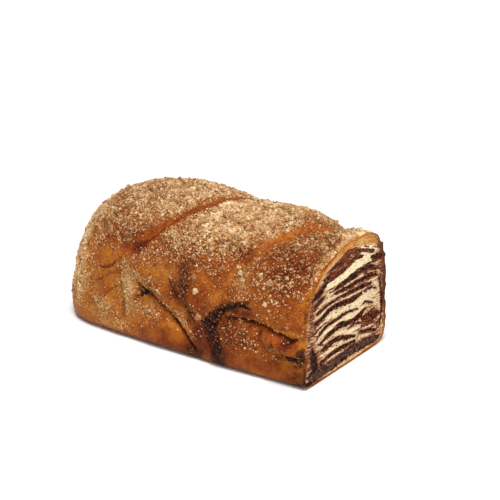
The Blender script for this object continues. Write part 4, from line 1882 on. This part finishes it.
@dataclass
class Studio:
    """Floor, light and camera; places are in metres, and the floor's sizes in millimetres."""

    azimuth: float = 36.8
    elevation: float = 21.9
    distance: float = 1.0
    target: Place = (0.021, 0.014, 0.06)
    focal_pixels: float = 1372.0
    frame_pixels: int = 500
    sensor: float = 36.0
    lit: Place = (0.0, 0.0, 0.05)
    sky: float = 0.24
    floor_half: float = 12000.0
    floor_level: float = -0.3

    def camera(self) -> None:
        """Set up the camera."""
        lens = bpy.data.cameras.new("camera")
        lens.sensor_width = self.sensor
        lens.lens = self.focal_pixels / self.frame_pixels * self.sensor
        holder = into_scene("camera", lens)
        a, e = math.radians(self.azimuth), math.radians(self.elevation)
        back = Vector((math.sin(a) * math.cos(e), -math.cos(a) * math.cos(e), math.sin(e)))
        holder.location = Vector(self.target) + back * self.distance
        holder.rotation_euler = (-back).to_track_quat("-Z", "Y").to_euler()
        bpy.context.scene.camera = holder

    def light(self, name: str, kind: str, place: Place, energy: float, **more: float | str) -> None:
        """Add one light that points at the loaf.

        Args:
            name: Its name.
            kind: Type of the light.
            place: Where it stands, in metres.
            energy: Its strength.
            more: Its further properties by name.
        """
        lamp = bpy.data.lights.new(name, kind)
        for key, value in more.items():
            setattr(lamp, key, value)
        lamp.energy = energy
        holder = into_scene(name, lamp)
        holder.location = place
        toward = Vector(self.lit) - Vector(place)
        holder.rotation_euler = toward.to_track_quat("-Z", "Y").to_euler()

    def floor(self) -> None:
        """Lay the floor."""
        half = self.floor_half
        corners = np.array([(-half, -half, 0), (half, -half, 0), (half, half, 0), (-half, half, 0)])
        corners[:, 2] = self.floor_level
        plane = mesh_object("floor", corners, [(0, 1, 2, 3)], FloorFinish("floor", 0.9, 0.1).material())

    def build(self) -> None:
        """Set up everything."""
        self.floor()
        self.camera()
        self.light("key light", "SUN", (0.25, -0.35, 1.7), 2.55, angle=math.radians(22))
        self.light("side light", "AREA", (1.5, -0.55, 0.75), 8, shape="DISK", size=0.6)
        self.light("fill light", "AREA", (-1.1, -1.3, 0.8), 2.4, shape="DISK", size=1.0)
        self.light("back light", "AREA", (-0.2, 1.5, 1.3), 6, shape="DISK", size=1.0)
        world = bpy.data.worlds.new("studio")
        world.use_nodes = True
        background = world.node_tree.nodes["Background"]
        background.inputs["Color"].default_value = (1.0, 1.0, 1.0, 1.0)
        background.inputs["Strength"].default_value = self.sky
        bpy.context.scene.world = world
        bpy.context.scene.view_settings.view_transform = "Standard"


def main() -> None:
    """Build the loaf and the studio round it."""
    logging.basicConfig(level=logging.INFO, format="%(message)s")
    form = LoafForm()
    crust = CrustSkin(form).build(CrustFinish("baked_crust", 0.5, 0.1).material())
    chocolate = ChocolateFinish("chocolate", 0.65, 0.08, specks=0.36).material()
    squeezed = ChocolateFinish(
        "squeezed_chocolate", 0.5, 0.06, coat=0.14, coat_roughness=0.2, speck=tone(190, 122, 66),
        specks=0.365).material()
    topping = Streusel(form, crust)
    crumbs = [topping.fine(kind) for kind in CrumbKind]
    crumbs.append(topping.large())
    settle(crust, "crust", "loaf")
    dough = CutFace(form).build(DoughFinish("cut_dough", 0.7, 0.12, 0.15).material())
    settle(dough, "crust")
    ribbons = Ribbons(form)
    for number, layer in enumerate(LAYERS, start=1):
        settle(ribbons.build(number, layer, chocolate), "chocolate", f"filling_layer_{number:02d}")
    for rope in OUTBREAKS:
        settle(rope.build(form, squeezed), "chocolate", f"filling_{rope.name}")
    for piece in crumbs:
        settle(piece, "chocolate" if piece.name == "crumbs_chocolate" else "crumb_topping")
    Studio().build()


if __name__ == "__main__":
    main()
